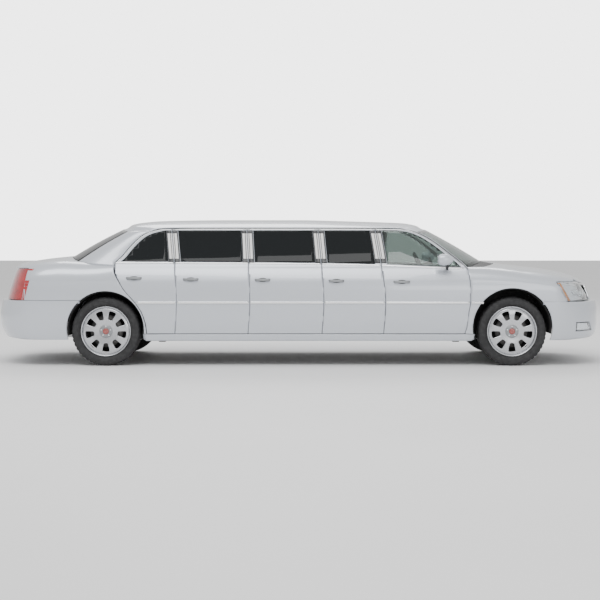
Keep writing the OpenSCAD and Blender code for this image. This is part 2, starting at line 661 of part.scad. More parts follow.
// ---- under the body ----
rail_y = 440;
module floor_pan() {
    color("dimgray") {
        translate([cabin_rear - 200, -half_w + 130, sill_height + floor_up])
            cube([bulkhead_x + bulkhead_t - cabin_rear + 200, body_width - 260, floor_t]);
        // bulkheads ahead of the front seats and behind the rear seat
        translate([bulkhead_x, -half_w + 190, sill_height + floor_up])
            cube([bulkhead_t, body_width - 380, belt_height - 340]);
        translate([xr - 260, -560, 420]) cube([bulkhead_t, 1120, 560]);
        // raised floor over the rear axle and the luggage space
        translate([tail_x + 140, -540, 420]) cube([cabin_rear - 200 - tail_x - 140 + 10, 1080, 26]);
        translate([cabin_rear - 210, -540, sill_height + floor_up]) cube([26, 1080, 430 - sill_height]);
        // side rails, and cross beams with a stud that carries each bumper
        both_sides() {
            translate([bulkhead_x, rail_y - 30, 400]) cube([nose_x - 130 - bulkhead_x, 50, 90]);
            translate([tail_x + 110, rail_y - 30, 335]) cube([230, 50, 90]);
        }
        translate([nose_x - 140, -rail_y - 20, 410]) cube([40, 2 * rail_y + 40, 80]);
        translate([nose_x - 110, -40, 420]) cube([110 - panel_t - 4, 80, 60]);
        translate([tail_x + 110, -rail_y - 20, 340]) cube([40, 2 * rail_y + 40, 100]);
        translate([tail_x + panel_t + 13.5, -40, 400]) cube([100, 80, 40]);
    }
}

module wheel_liners() {
    color("dimgray") both_sides() for (a = [[xf, front_arch_z, front_arch_r, 505], [xr,
        rear_arch_z, rear_arch_r, 560]])
        difference() {
            translate([a[0], a[3], a[1]]) rotate([-90, 0, 0])
                cylinder(r = a[2] - 4, h = half_w - 40 - a[3], $fn = 96);
            translate([a[0], a[3] - 1, a[1]]) rotate([-90, 0, 0]) cylinder(r = a[2] - 12, h = 600,
                $fn = 96);
            translate([a[0] - 500, a[3] - 5, -100]) cube([1000, 600, a[1] + 40]);
        }
}

module engine() {
    color("gray") translate([xf - 130, -290, 330]) cube([700, 580, 470]);
}

kingpin_y = tyre_y - 20;
kingpin_r = 11;
ball_z = 118;
module front_subframe() {
    color("dimgray") {
        translate([xf - 200, -400, 250]) cube([400, 800, 70]);
        // lower arms from the subframe, upper arms from the side rails, each with a steering pin
        both_sides() for (s = [-1, 1]) {
            z = hub_z + s * ball_z;
            low = s < 0 ? z - 20 : z - 12;
            from = s < 0 ? 380 : rail_y + 20;
            translate([xf - 24, from, low]) cube([48, kingpin_y - from, 20]);
            translate([xf, kingpin_y, low]) cylinder(r = 24, h = 20);
            translate([xf, kingpin_y, s < 0 ? z - 12 : z - 50]) cylinder(r = kingpin_r, h = 42);
        }
        both_sides() translate([xf - 24, 380, hub_z - ball_z - 20]) cube([48, 20, 90]);
    }
}

module knuckle() {
    color("gray") difference() {
        union() {
            translate([xf - 32, kingpin_y - 26, hub_z - ball_z + 8]) cube([64, 52, 2 * ball_z - 24]);
            translate([xf, kingpin_y, hub_z]) rotate([-90, 0, 0])
                cylinder(r = stub_r, h = tyre_y - kingpin_y + stub_end);
        }
        translate([xf, kingpin_y, hub_z - ball_z - 20]) cylinder(r = kingpin_r + 0.4, h = 52 + 14);
        translate([xf, kingpin_y, hub_z + ball_z - 66]) cylinder(r = kingpin_r + 0.4, h = 80);
    }
}
module knuckle_right() { mirror([0, 1, 0]) knuckle(); }
module knuckle_left() { knuckle(); }

module rear_axle() {
    color("dimgray") {
        translate([xr, -tyre_y - stub_end, hub_z]) rotate([-90, 0, 0])
            cylinder(r = stub_r, h = 2 * (tyre_y + stub_end));
        translate([xr, -520, hub_z]) rotate([-90, 0, 0]) cylinder(r = 42, h = 1040);
        translate([xr, 0, hub_z]) sphere(r = 64);
        // springs' seats up to the raised floor
        both_sides() translate([xr, 420, hub_z]) cylinder(r = 50, h = 420 - hub_z);
    }
}

module exhaust() {
    color("silver") both_sides() {
        translate([tail_x + 160, 500, 328]) rotate([0, 90, 0]) cylinder(r = 32, h = 330);
        translate([tail_x + 480, 360, 262]) cube([520, 200, 100]);
    }
}

// ---- inside ----
module dashboard() {
    color("dimgray") translate([0, half_w - 190, 0]) rotate([90, 0, 0]) linear_extrude(body_width - 380)
        polygon([[bulkhead_x, 620], [bulkhead_x, 940], [cabin_front - 60, 985], [cabin_front - 250, 975],
            [cabin_front - 310, 900], [cabin_front - 270, 720], [cabin_front - 120, 620]]);
}
wheel_x = cabin_front - 390;
wheel_z = belt_height - 50;
module steering_wheel() {
    color("dimgray") translate([wheel_x, 400, wheel_z]) rotate([0, 65, 0]) {
        rotate_extrude($fn = 72) translate([170, 0]) circle(r = 15, $fn = 24);
        translate([0, 0, -20]) cylinder(r = 55, h = 40);
        for (a = [90, 180, 270]) rotate([0, 0, a]) translate([0, -16, -8]) cube([172, 32, 16]);
        translate([0, 0, 10]) cylinder(r = 30, h = 130);
    }
}
// One seat: base, back and head rest in one cushion shape
module seat(x, y, w, d = 520) {
    low = sill_height + 20 + floor_t;
    translate([x, y - w / 2, low + seat_gap]) cube([d, w, 230]);
    translate([x, y - w / 2, low + 228]) seat_back(w);
}
module seat_back(w) {
    rotate([90, 0, 0]) translate([0, 0, -w]) linear_extrude(w)
        polygon([[-20, 0], [130, 0], [20, 480], [-90, 480]]);
}
module front_seats() {
    color("saddlebrown") for (y = [-400, 400]) seat(cabin_front - 1130, y, 520);
}
module cabin_seats() {
    low = sill_height + 20 + floor_t;
    color("saddlebrown") {
        seat(cabin_rear - 150, 0, 1320, 520);
        translate([cabin_rear + 500, half_w - 560, low + seat_gap]) cube([1000, 370, 230]);
        translate([cabin_rear + 500, half_w - 300, low + 228]) cube([1000, 120, 330]);
    }
}

// ---- wheels ----
// Along the axle from the tyre's middle plane: inner face of the hub and disc, and end of the stub
hub_in = 12;
stub_end = 60;
module at_wheel(x, y) { translate([x, y, hub_z]) rotate([y > 0 ? -90 : 90, 0, 0]) children(); }
module tyre() {
    r = tyre_d / 2;
    h = tyre_w / 2;
    s = rim_d / 2;
    color("black") rotate_extrude($fn = 120)
        polygon([[s, -h + 22], [s + 14, -h + 8], [s + 40, -h], [r - 34, -h + 3], [r - 10, -h + 16],
            [r, -h + 38],
            [r, h - 38], [r - 10, h - 16], [r - 34, h - 3], [s + 40, h], [s + 14, h - 8], [s, h - 22]]);
}
module rim() {
    h = tyre_w / 2;
    s = rim_d / 2;
    face = h - 34;
    color("silver") difference() {
        union() {
            rotate_extrude($fn = 96)
                polygon([[s - 16, -h + 22], [s, -h + 22], [s, h - 22], [s - 8, h - 16], [s - 16, h - 24]]);
            rotate_extrude($fn = 96)
                polygon([[0, face - 24], [s - 14, face - 18], [s - 14, face + 2], [70, face + 4],
                    [0, face + 2]]);
            translate([0, 0, hub_in]) cylinder(r = 62, h = face - hub_in);
            translate([0, 0, hub_in]) cylinder(r = disc_r, h = 20);
        }
        for (k = [0:spokes - 1]) rotate([0, 0, 360 * (k + 0.5) / spokes]) translate([0, 0, face - 40])
            linear_extrude(80) polygon([[s * 0.52, -18], [s * 0.8, -32], [s * 0.83, 0], [s * 0.8,
                32], [s * 0.52, 18]]);
        translate([0, 0, hub_in - 1]) cylinder(r = stub_r + stub_clear, h = stub_end + 2 - hub_in + 1);
    }
}
// Angle that puts one spoke straight up
spoke_turn = 90;
module tyre_front_right() { at_wheel(xf, -tyre_y) tyre(); }
module tyre_front_left() { at_wheel(xf, tyre_y) tyre(); }
module tyre_rear_right() { at_wheel(xr, -tyre_y) tyre(); }
module tyre_rear_left() { at_wheel(xr, tyre_y) tyre(); }
module wheel_front_right() { at_wheel(xf, -tyre_y) rotate([0, 0, spoke_turn]) rim(); }
module wheel_front_left() { at_wheel(xf, tyre_y) rotate([0, 0, -spoke_turn]) rim(); }
module wheel_rear_right() { at_wheel(xr, -tyre_y) rotate([0, 0, spoke_turn]) rim(); }
module wheel_rear_left() { at_wheel(xr, tyre_y) rotate([0, 0, -spoke_turn]) rim(); }

floor_pan();
rocker_panels();
door_pillars();
roof();
windshield_pillars();
quarter_panels();
front_fenders();
cowl();
wheel_liners();
front_bumper();
rear_bumper();
grille();
headlamps();
tail_lamps();
windshield();
rear_window();
engine();
front_subframe();
rear_axle();
exhaust();
dashboard();
steering_wheel();
front_seats();
cabin_seats();
hood();
trunk_lid();
right_door(1);  // door_1_right
right_door(2);  // door_2_right
right_door(3);  // door_3_right
right_door(4);  // door_4_right
right_door(5);  // door_5_right
left_door(1);  // door_1_left
left_door(2);  // door_2_left
left_door(3);  // door_3_left
left_door(4);  // door_4_left
left_door(5);  // door_5_left
right_window(1);  // window_1_right
right_window(2);  // window_2_right
right_window(3);  // window_3_right
right_window(4);  // window_4_right
right_window(5);  // window_5_right
left_window(1);  // window_1_left
left_window(2);  // window_2_left
left_window(3);  // window_3_left
left_window(4);  // window_4_left
left_window(5);  // window_5_left
knuckle_right();
knuckle_left();
tyre_front_right();
tyre_front_left();
tyre_rear_right();
tyre_rear_left();
wheel_front_right();
wheel_front_left();
wheel_rear_right();
wheel_rear_left();
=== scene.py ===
import json
import math

import bmesh
import bpy
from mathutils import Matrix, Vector
from mathutils.geometry import tessellate_polygon

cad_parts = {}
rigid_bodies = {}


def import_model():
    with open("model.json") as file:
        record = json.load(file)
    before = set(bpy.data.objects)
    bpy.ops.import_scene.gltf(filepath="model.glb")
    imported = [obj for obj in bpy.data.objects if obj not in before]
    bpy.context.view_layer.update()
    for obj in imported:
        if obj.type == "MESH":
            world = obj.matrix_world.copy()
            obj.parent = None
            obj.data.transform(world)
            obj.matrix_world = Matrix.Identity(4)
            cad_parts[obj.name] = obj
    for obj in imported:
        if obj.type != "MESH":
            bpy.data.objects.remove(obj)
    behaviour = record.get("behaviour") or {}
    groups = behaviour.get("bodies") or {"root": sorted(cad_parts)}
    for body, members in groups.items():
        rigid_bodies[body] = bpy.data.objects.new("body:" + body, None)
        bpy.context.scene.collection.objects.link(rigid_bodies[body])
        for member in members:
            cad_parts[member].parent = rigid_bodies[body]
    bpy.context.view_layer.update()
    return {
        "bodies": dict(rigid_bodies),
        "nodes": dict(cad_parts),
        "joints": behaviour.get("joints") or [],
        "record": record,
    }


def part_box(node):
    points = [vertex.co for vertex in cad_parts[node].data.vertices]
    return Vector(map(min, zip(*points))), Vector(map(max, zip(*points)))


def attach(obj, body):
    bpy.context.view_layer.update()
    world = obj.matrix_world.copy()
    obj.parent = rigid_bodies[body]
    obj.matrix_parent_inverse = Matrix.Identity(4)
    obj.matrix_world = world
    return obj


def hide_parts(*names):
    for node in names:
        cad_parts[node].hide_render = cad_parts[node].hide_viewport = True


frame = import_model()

MM = 0.001
SIDES = (("right", -1), ("left", 1))

# ---- sizes in millimetres: those from a node's box first, then the part's own values ----
def box_mm(node):
    low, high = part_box(node)
    return [v / MM for v in low], [v / MM for v in high]

def middle(node, axis):
    low, high = box_mm(node)
    return (low[axis] + high[axis]) / 2

XF = middle("tyre_front_left", 0)
XR = middle("tyre_rear_left", 0)
HUB_Z = middle("tyre_front_left", 2)
TYRE_Y = middle("tyre_front_left", 1)
TYRE_W = box_mm("tyre_front_left")[1][1] - box_mm("tyre_front_left")[0][1]
HALF_W = box_mm("door_3_left")[1][1]
NOSE = box_mm("front_bumper")[1][0]
TAIL = box_mm("rear_bumper")[0][0]
ROOF = box_mm("roof")[1][2]
DOOR_LOW = box_mm("door_3_left")[0][2]
SILL = box_mm("rocker_panels")[0][2]
BELT = 1010
CANT = ROOF - 92
GAP = 9
SHELL = 28
DOOR_T = 110
PANEL = 24
SLANT = 0.5
FRAME_W = 60
ARCH_F = (XF, 382, 400)
ARCH_R = (XR, 364, 388)
SEAM_F = 637
SEAM_R = 655
CABIN_F = XF - 423
CABIN_R = XR + 713
ROUND_F = XF + 360
ROUND_R = XR - 560
FLOOR = SILL + 60
GLASS_TOP = CANT - 20
DOOR_TOP = CANT - 6
HINGE_BACK = 30
HINGES = (470, 760)
HOOD_T = 12
HOOD_CROWN = 42
SPOKES = 9
MOULDING = (622, 647)
ROOF_BLEND = 0.028
# by end, True for the front: bumper's low edge, depth of its ledge, and how square the corners are in plan
SEAM_LOW = {True: 258, False: 262}
LEDGE = {True: 80, False: 52}
END_POWER = {True: 2.4, False: 2.8}
DECK_END = XR - 303

# ---- curves ----
def mix(a, b, t):
    return a + (b - a) * t

def smooth(points):
    """Smooth curve through points that doesn't overshoot them."""
    points = sorted(points)
    xs = [p[0] for p in points]
    ys = [p[1] for p in points]
    d = [(ys[i + 1] - ys[i]) / (xs[i + 1] - xs[i]) for i in range(len(xs) - 1)]
    m = [d[0]] + [0 if d[i - 1] * d[i] <= 0 else 2 * d[i - 1] * d[i] / (d[i - 1] + d[i])
                  for i in range(1, len(d))] + [d[-1]]

    def at(x):
        if x <= xs[0]:
            return ys[0]
        if x >= xs[-1]:
            return ys[-1]
        i = max(k for k in range(len(xs) - 1) if xs[k] <= x)
        h = xs[i + 1] - xs[i]
        t = (x - xs[i]) / h
        return (ys[i] * (1 + 2 * t) * (1 - t) ** 2 + h * m[i] * t * (1 - t) ** 2
                + ys[i + 1] * t * t * (3 - 2 * t) + h * m[i + 1] * t * t * (t - 1))
    return at

side_inset = smooth([(SILL, 62), (SILL + 26, 42), (330, 26), (450, 9), (560, 2), (640, 0), (760, 3),
                     (836, 14), (905, 38), (968, 70), (BELT, 100), (CANT, 232)])
belt_rise = smooth([(XR + 110, 20), (0, 8), (820, -7), (XF - 500, -38)])
front_shift = smooth([(DOOR_LOW, -56), (390, -36), (543, -17), (645, 0), (800, 0), (900, -10), (960, -22),
                      (1030, -77), (1128, -197), (1233, -332), (1318, -472), (1364, -607), (CANT, -742)])
rear_shift = smooth([(DOOR_LOW, 413), (400, 405), (520, 370), (620, 310), (690, 250), (750, 195),
                     (836, 140),
                     (900, 105), (960, 84), (1023, 80), (1100, 150), (1212, 240), (1308, 344), (1345, 420),
                     (CANT, 566)])
SHARES = (0, 0.289, 0.499, 0.751, 1)
LEANS = (0, -95, -57, -38, -69)
gap_shapes = [smooth([(DOOR_LOW, -18), (634, 0), (BELT, 0.4 * a), (CANT, a)]) for a in LEANS]

def side_y(z):
    return HALF_W - side_inset(z)

def belt(x):
    return BELT + belt_rise(x)

def gap_x(i):
    return mix(CABIN_F, CABIN_R, SHARES[i])

def gap_line(i, z):
    return gap_x(i) + gap_shapes[i](z)

def front_line(z):
    return CABIN_F + front_shift(z)

def rear_line(z):
    return XR + rear_shift(z)

def corner(t, n):
    return 1 if t <= 0 else max(0, 1 - t ** n) ** (1 / n)

def power(v, n):
    return 0 if v <= 0 else v ** (2 / n)

def sind(a):
    return math.sin(math.radians(a))

def cosd(a):
    return math.cos(math.radians(a))

nose_set = smooth([(258, 90), (263, 55), (315, 13), (413, 0), (490, 0), (556, 2), (637, 16)])
face_set = smooth([(600, 80), (637, 98), (700, 122), (807, 190), (860, 240)])
tail_set = smooth([(262, 95), (283, 64), (403, 10), (491, 0), (583, 15), (655, 26)])
back_set = smooth([(600, 72), (655, 80), (752, 107), (873, 145), (960, 178), (1023, 211)])

def wrap(front, a, z, setback, depth=0):
    """Point on the rounded end of the body: 0 degrees at the side, 90 at the middle."""
    y = side_y(z) - depth
    start = ROUND_F if front else ROUND_R
    end = NOSE if front else TAIL
    sign = 1 if front else -1
    n = END_POWER[front]
    if a < 0:
        return Vector((start + sign * a * 10, y, z))
    run = abs(end - start) - setback - depth
    return Vector((start + sign * run * power(sind(a), n), y * power(cosd(a), n), z))

hood_rise = smooth([(XF - 260, 22), (XF - 82, 9), (XF + 126, -18), (XF + 344, -41), (XF + 562, -78),
                    (XF + 705, -111), (XF + 814, -155), (XF + 863, -187)])
hood_edge = smooth([(XF - 430, 770), (XF, 735), (XF + 400, 690), (XF + 700, 620), (XF + 860, 540)])
shoulder = smooth([(ROUND_R - 600, 860), (XR, 850), (XR + 700, 836), (XF - 400, 836), (XF, 826),
                   (XF + 500, 770), (XF + 900, 700)])
deck_edge = smooth([(TAIL + 203, 540), (XR - 710, 640), (XR - 465, 690), (DECK_END, 704), (XR + 82, 856)])
deck_side = smooth([(TAIL + 203, -22), (XR - 710, 26), (XR - 465, 42), (DECK_END, 34), (XR + 82, -8)])

def hood_mid(x):
    return BELT + hood_rise(x)

def body_end(front):
    """Section of the fender or quarter panel: s is 0 at the sill, 1 at the shoulder, 2 at the lid's gap."""
    def edges(x):
        if front:
            return shoulder(x), hood_edge(x) + GAP / 2, hood_mid(x) - HOOD_CROWN
        return shoulder(x), deck_edge(x) + (GAP / 2 if x < DECK_END else 0), BELT + deck_side(x)

    def at(x, s, depth=0):
        zs, ye, ze = edges(x)
        z = mix(250, zs, s) if s <= 1 else zs + (ze - zs) * sind(90 * (s - 1))
        zl = min(z, zs)
        if front:
            fall = corner((x - ROUND_F) / (NOSE - face_set(zl) - ROUND_F), END_POWER[front])
        else:
            fall = corner((ROUND_R - x) / (ROUND_R - TAIL - back_set(zl)), END_POWER[front])
        yl = side_y(zl) * fall
        turn = min(1, max(0, s - 1))
        y = yl if s <= 1 else ye + (yl - ye) * cosd(90 * (s - 1))
        return Vector((x, y - depth * (1 - 0.9 * turn), z - depth * turn))

    def s_of(x, z):
        zs, ye, ze = edges(x)
        if z <= zs:
            return (z - 250) / (zs - 250)
        return 1 + math.degrees(math.asin(min(1, (z - zs) / (ze - zs)))) / 90
    return at, s_of

fender_at, fender_s = body_end(True)
quarter_at, quarter_s = body_end(False)

def shield(u, v):
    return Vector((mix(XF - 223, XF - 799, v) - mix(205, 125, v) * u * u, u * mix(735, 585, v),
                   mix(BELT + 31, ROOF - 102, v) + 8 * sind(180 * v) - mix(55, 22, v) * u * u))

def back_light(u, v):
    return Vector((mix(XR - 453, XR + 71, v) + mix(150, 110, v) * u * u, u * mix(700, 590, v),
                   mix(BELT + 81, ROOF - 96, v) + 10 * sind(180 * v) - mix(45, 25, v) * u * u))

def bezier(a, b, c, t):
    return a.lerp(b, t).lerp(b.lerp(c, t), t)

def new_object(name, mesh, body, look, replaces=()):
    """A piece on a body, in one look, with the slot of its look; the nodes it replaces are hidden."""
    obj = bpy.data.objects.new(name, mesh)
    bpy.context.scene.collection.objects.link(obj)
    obj.data.materials.append(MAT[look])
    for poly in obj.data.polygons:
        poly.use_smooth = True
    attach(obj, body)
    if replaces:
        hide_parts(*replaces)
    return obj

def finish_mesh(name, bm):
    bmesh.ops.remove_doubles(bm, verts=bm.verts, dist=1e-6)
    bmesh.ops.recalc_face_normals(bm, faces=bm.faces)
    mesh = bpy.data.meshes.new(name)
    bm.to_mesh(mesh)
    bm.free()
    return mesh

def flip_y(point, side):
    return (point[0] * MM, point[1] * side * MM, point[2] * MM)

def cut_sheet(outline, holes, step_a, step_b):
    """Flat sheet in two parameters, cut into a fine grid but with exact edges."""
    bm = bmesh.new()
    loops = [outline, *holes]
    flat = [Vector((a, b, 0)) for loop in loops for a, b in loop]
    verts = [bm.verts.new(p) for p in flat]
    triangles = tessellate_polygon([[Vector((a, b, 0)) for a, b in loop] for loop in loops])
    for tri in triangles:
        if len(set(tri)) == 3:
            try:
                bm.faces.new([verts[i] for i in tri])
            except ValueError:
                pass
    for axis, step in ((0, step_a), (1, step_b)):
        values = [p[axis] for p in flat]
        normal = Vector((1, 0, 0)) if axis == 0 else Vector((0, 1, 0))
        k = math.floor(min(values) / step) + 1
        while k * step < max(values):
            geometry = bm.verts[:] + bm.edges[:] + bm.faces[:]
            bmesh.ops.bisect_plane(bm, geom=geometry, plane_co=normal * (k * step), plane_no=normal)
            k += 1
    return bm

def thick_panel(name, outline, holes, place, depth, step, side=1):
    """Panel of a given depth: place(a, b, depth) gives each point in millimetres."""
    bm = cut_sheet(outline, holes, *step)
    bm.verts.index_update()
    where = [(v.co.x, v.co.y) for v in bm.verts]
    faces = [[v.index for v in f.verts] for f in bm.faces]
    rims = [[v.index for v in e.verts] for e in bm.edges if len(e.link_faces) == 1]
    bm.free()
    out = bmesh.new()
    layers = [[out.verts.new(flip_y(place(a, b, d), side)) for a, b in where] for d in depth]
    for face in faces:
        out.faces.new([layers[0][i] for i in face])
        if len(depth) > 1:
            out.faces.new([layers[1][i] for i in reversed(face)])
    if len(depth) > 1:
        for i, j in rims:
            out.faces.new([layers[0][i], layers[0][j], layers[1][j], layers[1][i]])
    return finish_mesh(name, out)

def grid_panel(name, rows, inner=None, side=1):
    """Surface through rows of points, or a closed shell when an inner grid is given."""
    bm = bmesh.new()
    grids = (rows, inner) if inner else (rows,)
    layers = [[[bm.verts.new(flip_y(p, side)) for p in row] for row in grid] for grid in grids]
    m, n = len(rows), len(rows[0])
    for grid in layers:
        for i in range(m - 1):
            for j in range(n - 1):
                bm.faces.new([grid[i][j], grid[i + 1][j], grid[i + 1][j + 1], grid[i][j + 1]])
    if inner:
        a, b = layers
        for i in range(m - 1):
            for j in (0, n - 1):
                bm.faces.new([a[i][j], a[i + 1][j], b[i + 1][j], b[i][j]])
        for j in range(n - 1):
            for i in (0, m - 1):
                bm.faces.new([a[i][j], a[i][j + 1], b[i][j + 1], b[i][j]])
    return finish_mesh(name, bm)

def tube(name, path, section, side=1, up=Vector((0, 0, 1)), closed=False):
    """Section, a list of (across, up) points, swept along a path of points in millimetres."""
    points = [Vector(p) for p in path]
    bm = bmesh.new()
    rings = []
    for i, p in enumerate(points):
        if closed:
            along = points[(i + 1) % len(points)] - points[i - 1]
        else:
            along = points[min(i + 1, len(points) - 1)] - points[max(i - 1, 0)]
        along.normalize()
        across = along.cross(up).normalized()
        rise = across.cross(along).normalized()
        rings.append([bm.verts.new(flip_y(p + across * a + rise * b, side)) for a, b in section])
    n = len(section)
    count = len(rings)
    for i in range(count if closed else count - 1):
        for j in range(n):
            q = rings[(i + 1) % count]
            bm.faces.new([rings[i][j], q[j], q[(j + 1) % n], rings[i][(j + 1) % n]])
    if not closed:
        bm.faces.new(rings[0])
        bm.faces.new(list(reversed(rings[-1])))
    return finish_mesh(name, bm)

def ellipse(rx, ry, n=12):
    return [(rx * math.cos(2 * math.pi * k / n), ry * math.sin(2 * math.pi * k / n)) for k in range(n)]

def join_rings(bm, rings):
    """Faces from each ring of vertices to the next, and from the last to the first."""
    n = len(rings[0])
    for a, b in zip(rings, rings[1:] + rings[:1]):
        for j in range(n):
            k = (j + 1) % n
            bm.faces.new([a[j], a[k], b[k], b[j]])

def lathe(name, profile, center, side, turns=96):
    """Ring turned about the wheel's axle: profile holds (radius, distance outboard) points."""
    bm = bmesh.new()
    rings = []
    for k in range(turns):
        a = 2 * math.pi * k / turns
        rings.append([bm.verts.new(((center[0] + r * math.cos(a)) * MM, (center[1] + h) * side * MM,
                                    (center[2] + r * math.sin(a)) * MM)) for r, h in profile])
    join_rings(bm, rings)
    return finish_mesh(name, bm)

def box_mesh(name, low, high, side=1, cuts=0):
    bm = bmesh.new()
    bmesh.ops.create_cube(bm, size=1)
    for v in bm.verts:
        v.co = Vector(flip_y([mix(low[i], high[i], v.co[i] + 0.5) for i in range(3)], side))
    if cuts:
        bmesh.ops.subdivide_edges(bm, edges=bm.edges, cuts=cuts, use_grid_fill=True)
    return finish_mesh(name, bm)

# ---- materials ----
def material(name, color, rough=0.5, metal=0, **sockets):
    """Principled material; its noise and bump are added by the helpers below."""
    m = bpy.data.materials.new(name)
    m.use_nodes = True
    shader = m.node_tree.nodes["Principled BSDF"]
    shader.inputs["Base Color"].default_value = (*color, 1)
    shader.inputs["Roughness"].default_value = rough
    shader.inputs["Metallic"].default_value = metal
    for key, value in sockets.items():
        shader.inputs[key.replace("_", " ")].default_value = value
    return m

def noise_node(m, scale, detail=3):
    tree = m.node_tree
    coord = tree.nodes.new("ShaderNodeTexCoord")
    noise = tree.nodes.new("ShaderNodeTexNoise")
    noise.inputs["Scale"].default_value = scale
    noise.inputs["Detail"].default_value = detail
    tree.links.new(coord.outputs["Object"], noise.inputs["Vector"])
    return noise

def vary_color(m, scale, dark, light, detail=3):
    ramp = m.node_tree.nodes.new("ShaderNodeValToRGB")
    ramp.color_ramp.elements[0].position = 0.3
    ramp.color_ramp.elements[1].position = 0.7
    ramp.color_ramp.elements[0].color = (*dark, 1)
    ramp.color_ramp.elements[1].color = (*light, 1)
    noise = noise_node(m, scale, detail)
    m.node_tree.links.new(noise.outputs["Fac"], ramp.inputs["Fac"])
    m.node_tree.links.new(ramp.outputs["Color"], m.node_tree.nodes["Principled BSDF"].inputs["Base Color"])
    return m

def vary_rough(m, scale, low, high):
    span = m.node_tree.nodes.new("ShaderNodeMapRange")
    span.inputs["To Min"].default_value = low
    span.inputs["To Max"].default_value = high
    noise = noise_node(m, scale)
    m.node_tree.links.new(noise.outputs["Fac"], span.inputs["Value"])
    m.node_tree.links.new(span.outputs["Result"], m.node_tree.nodes["Principled BSDF"].inputs["Roughness"])
    return m

def add_bump(m, scale, distance, strength=0.3, detail=2, kind="noise"):
    tree = m.node_tree
    if kind == "noise":
        height = noise_node(m, scale, detail).outputs["Fac"]
    else:
        coord = tree.nodes.new("ShaderNodeTexCoord")
        cells = tree.nodes.new("ShaderNodeTexVoronoi")
        cells.inputs["Scale"].default_value = scale
        tree.links.new(coord.outputs["Object"], cells.inputs["Vector"])
        height = cells.outputs["Distance"]
    bump = tree.nodes.new("ShaderNodeBump")
    bump.inputs["Distance"].default_value = distance
    bump.inputs["Strength"].default_value = strength
    tree.links.new(height, bump.inputs["Height"])
    tree.links.new(bump.outputs["Normal"], tree.nodes["Principled BSDF"].inputs["Normal"])
    return m

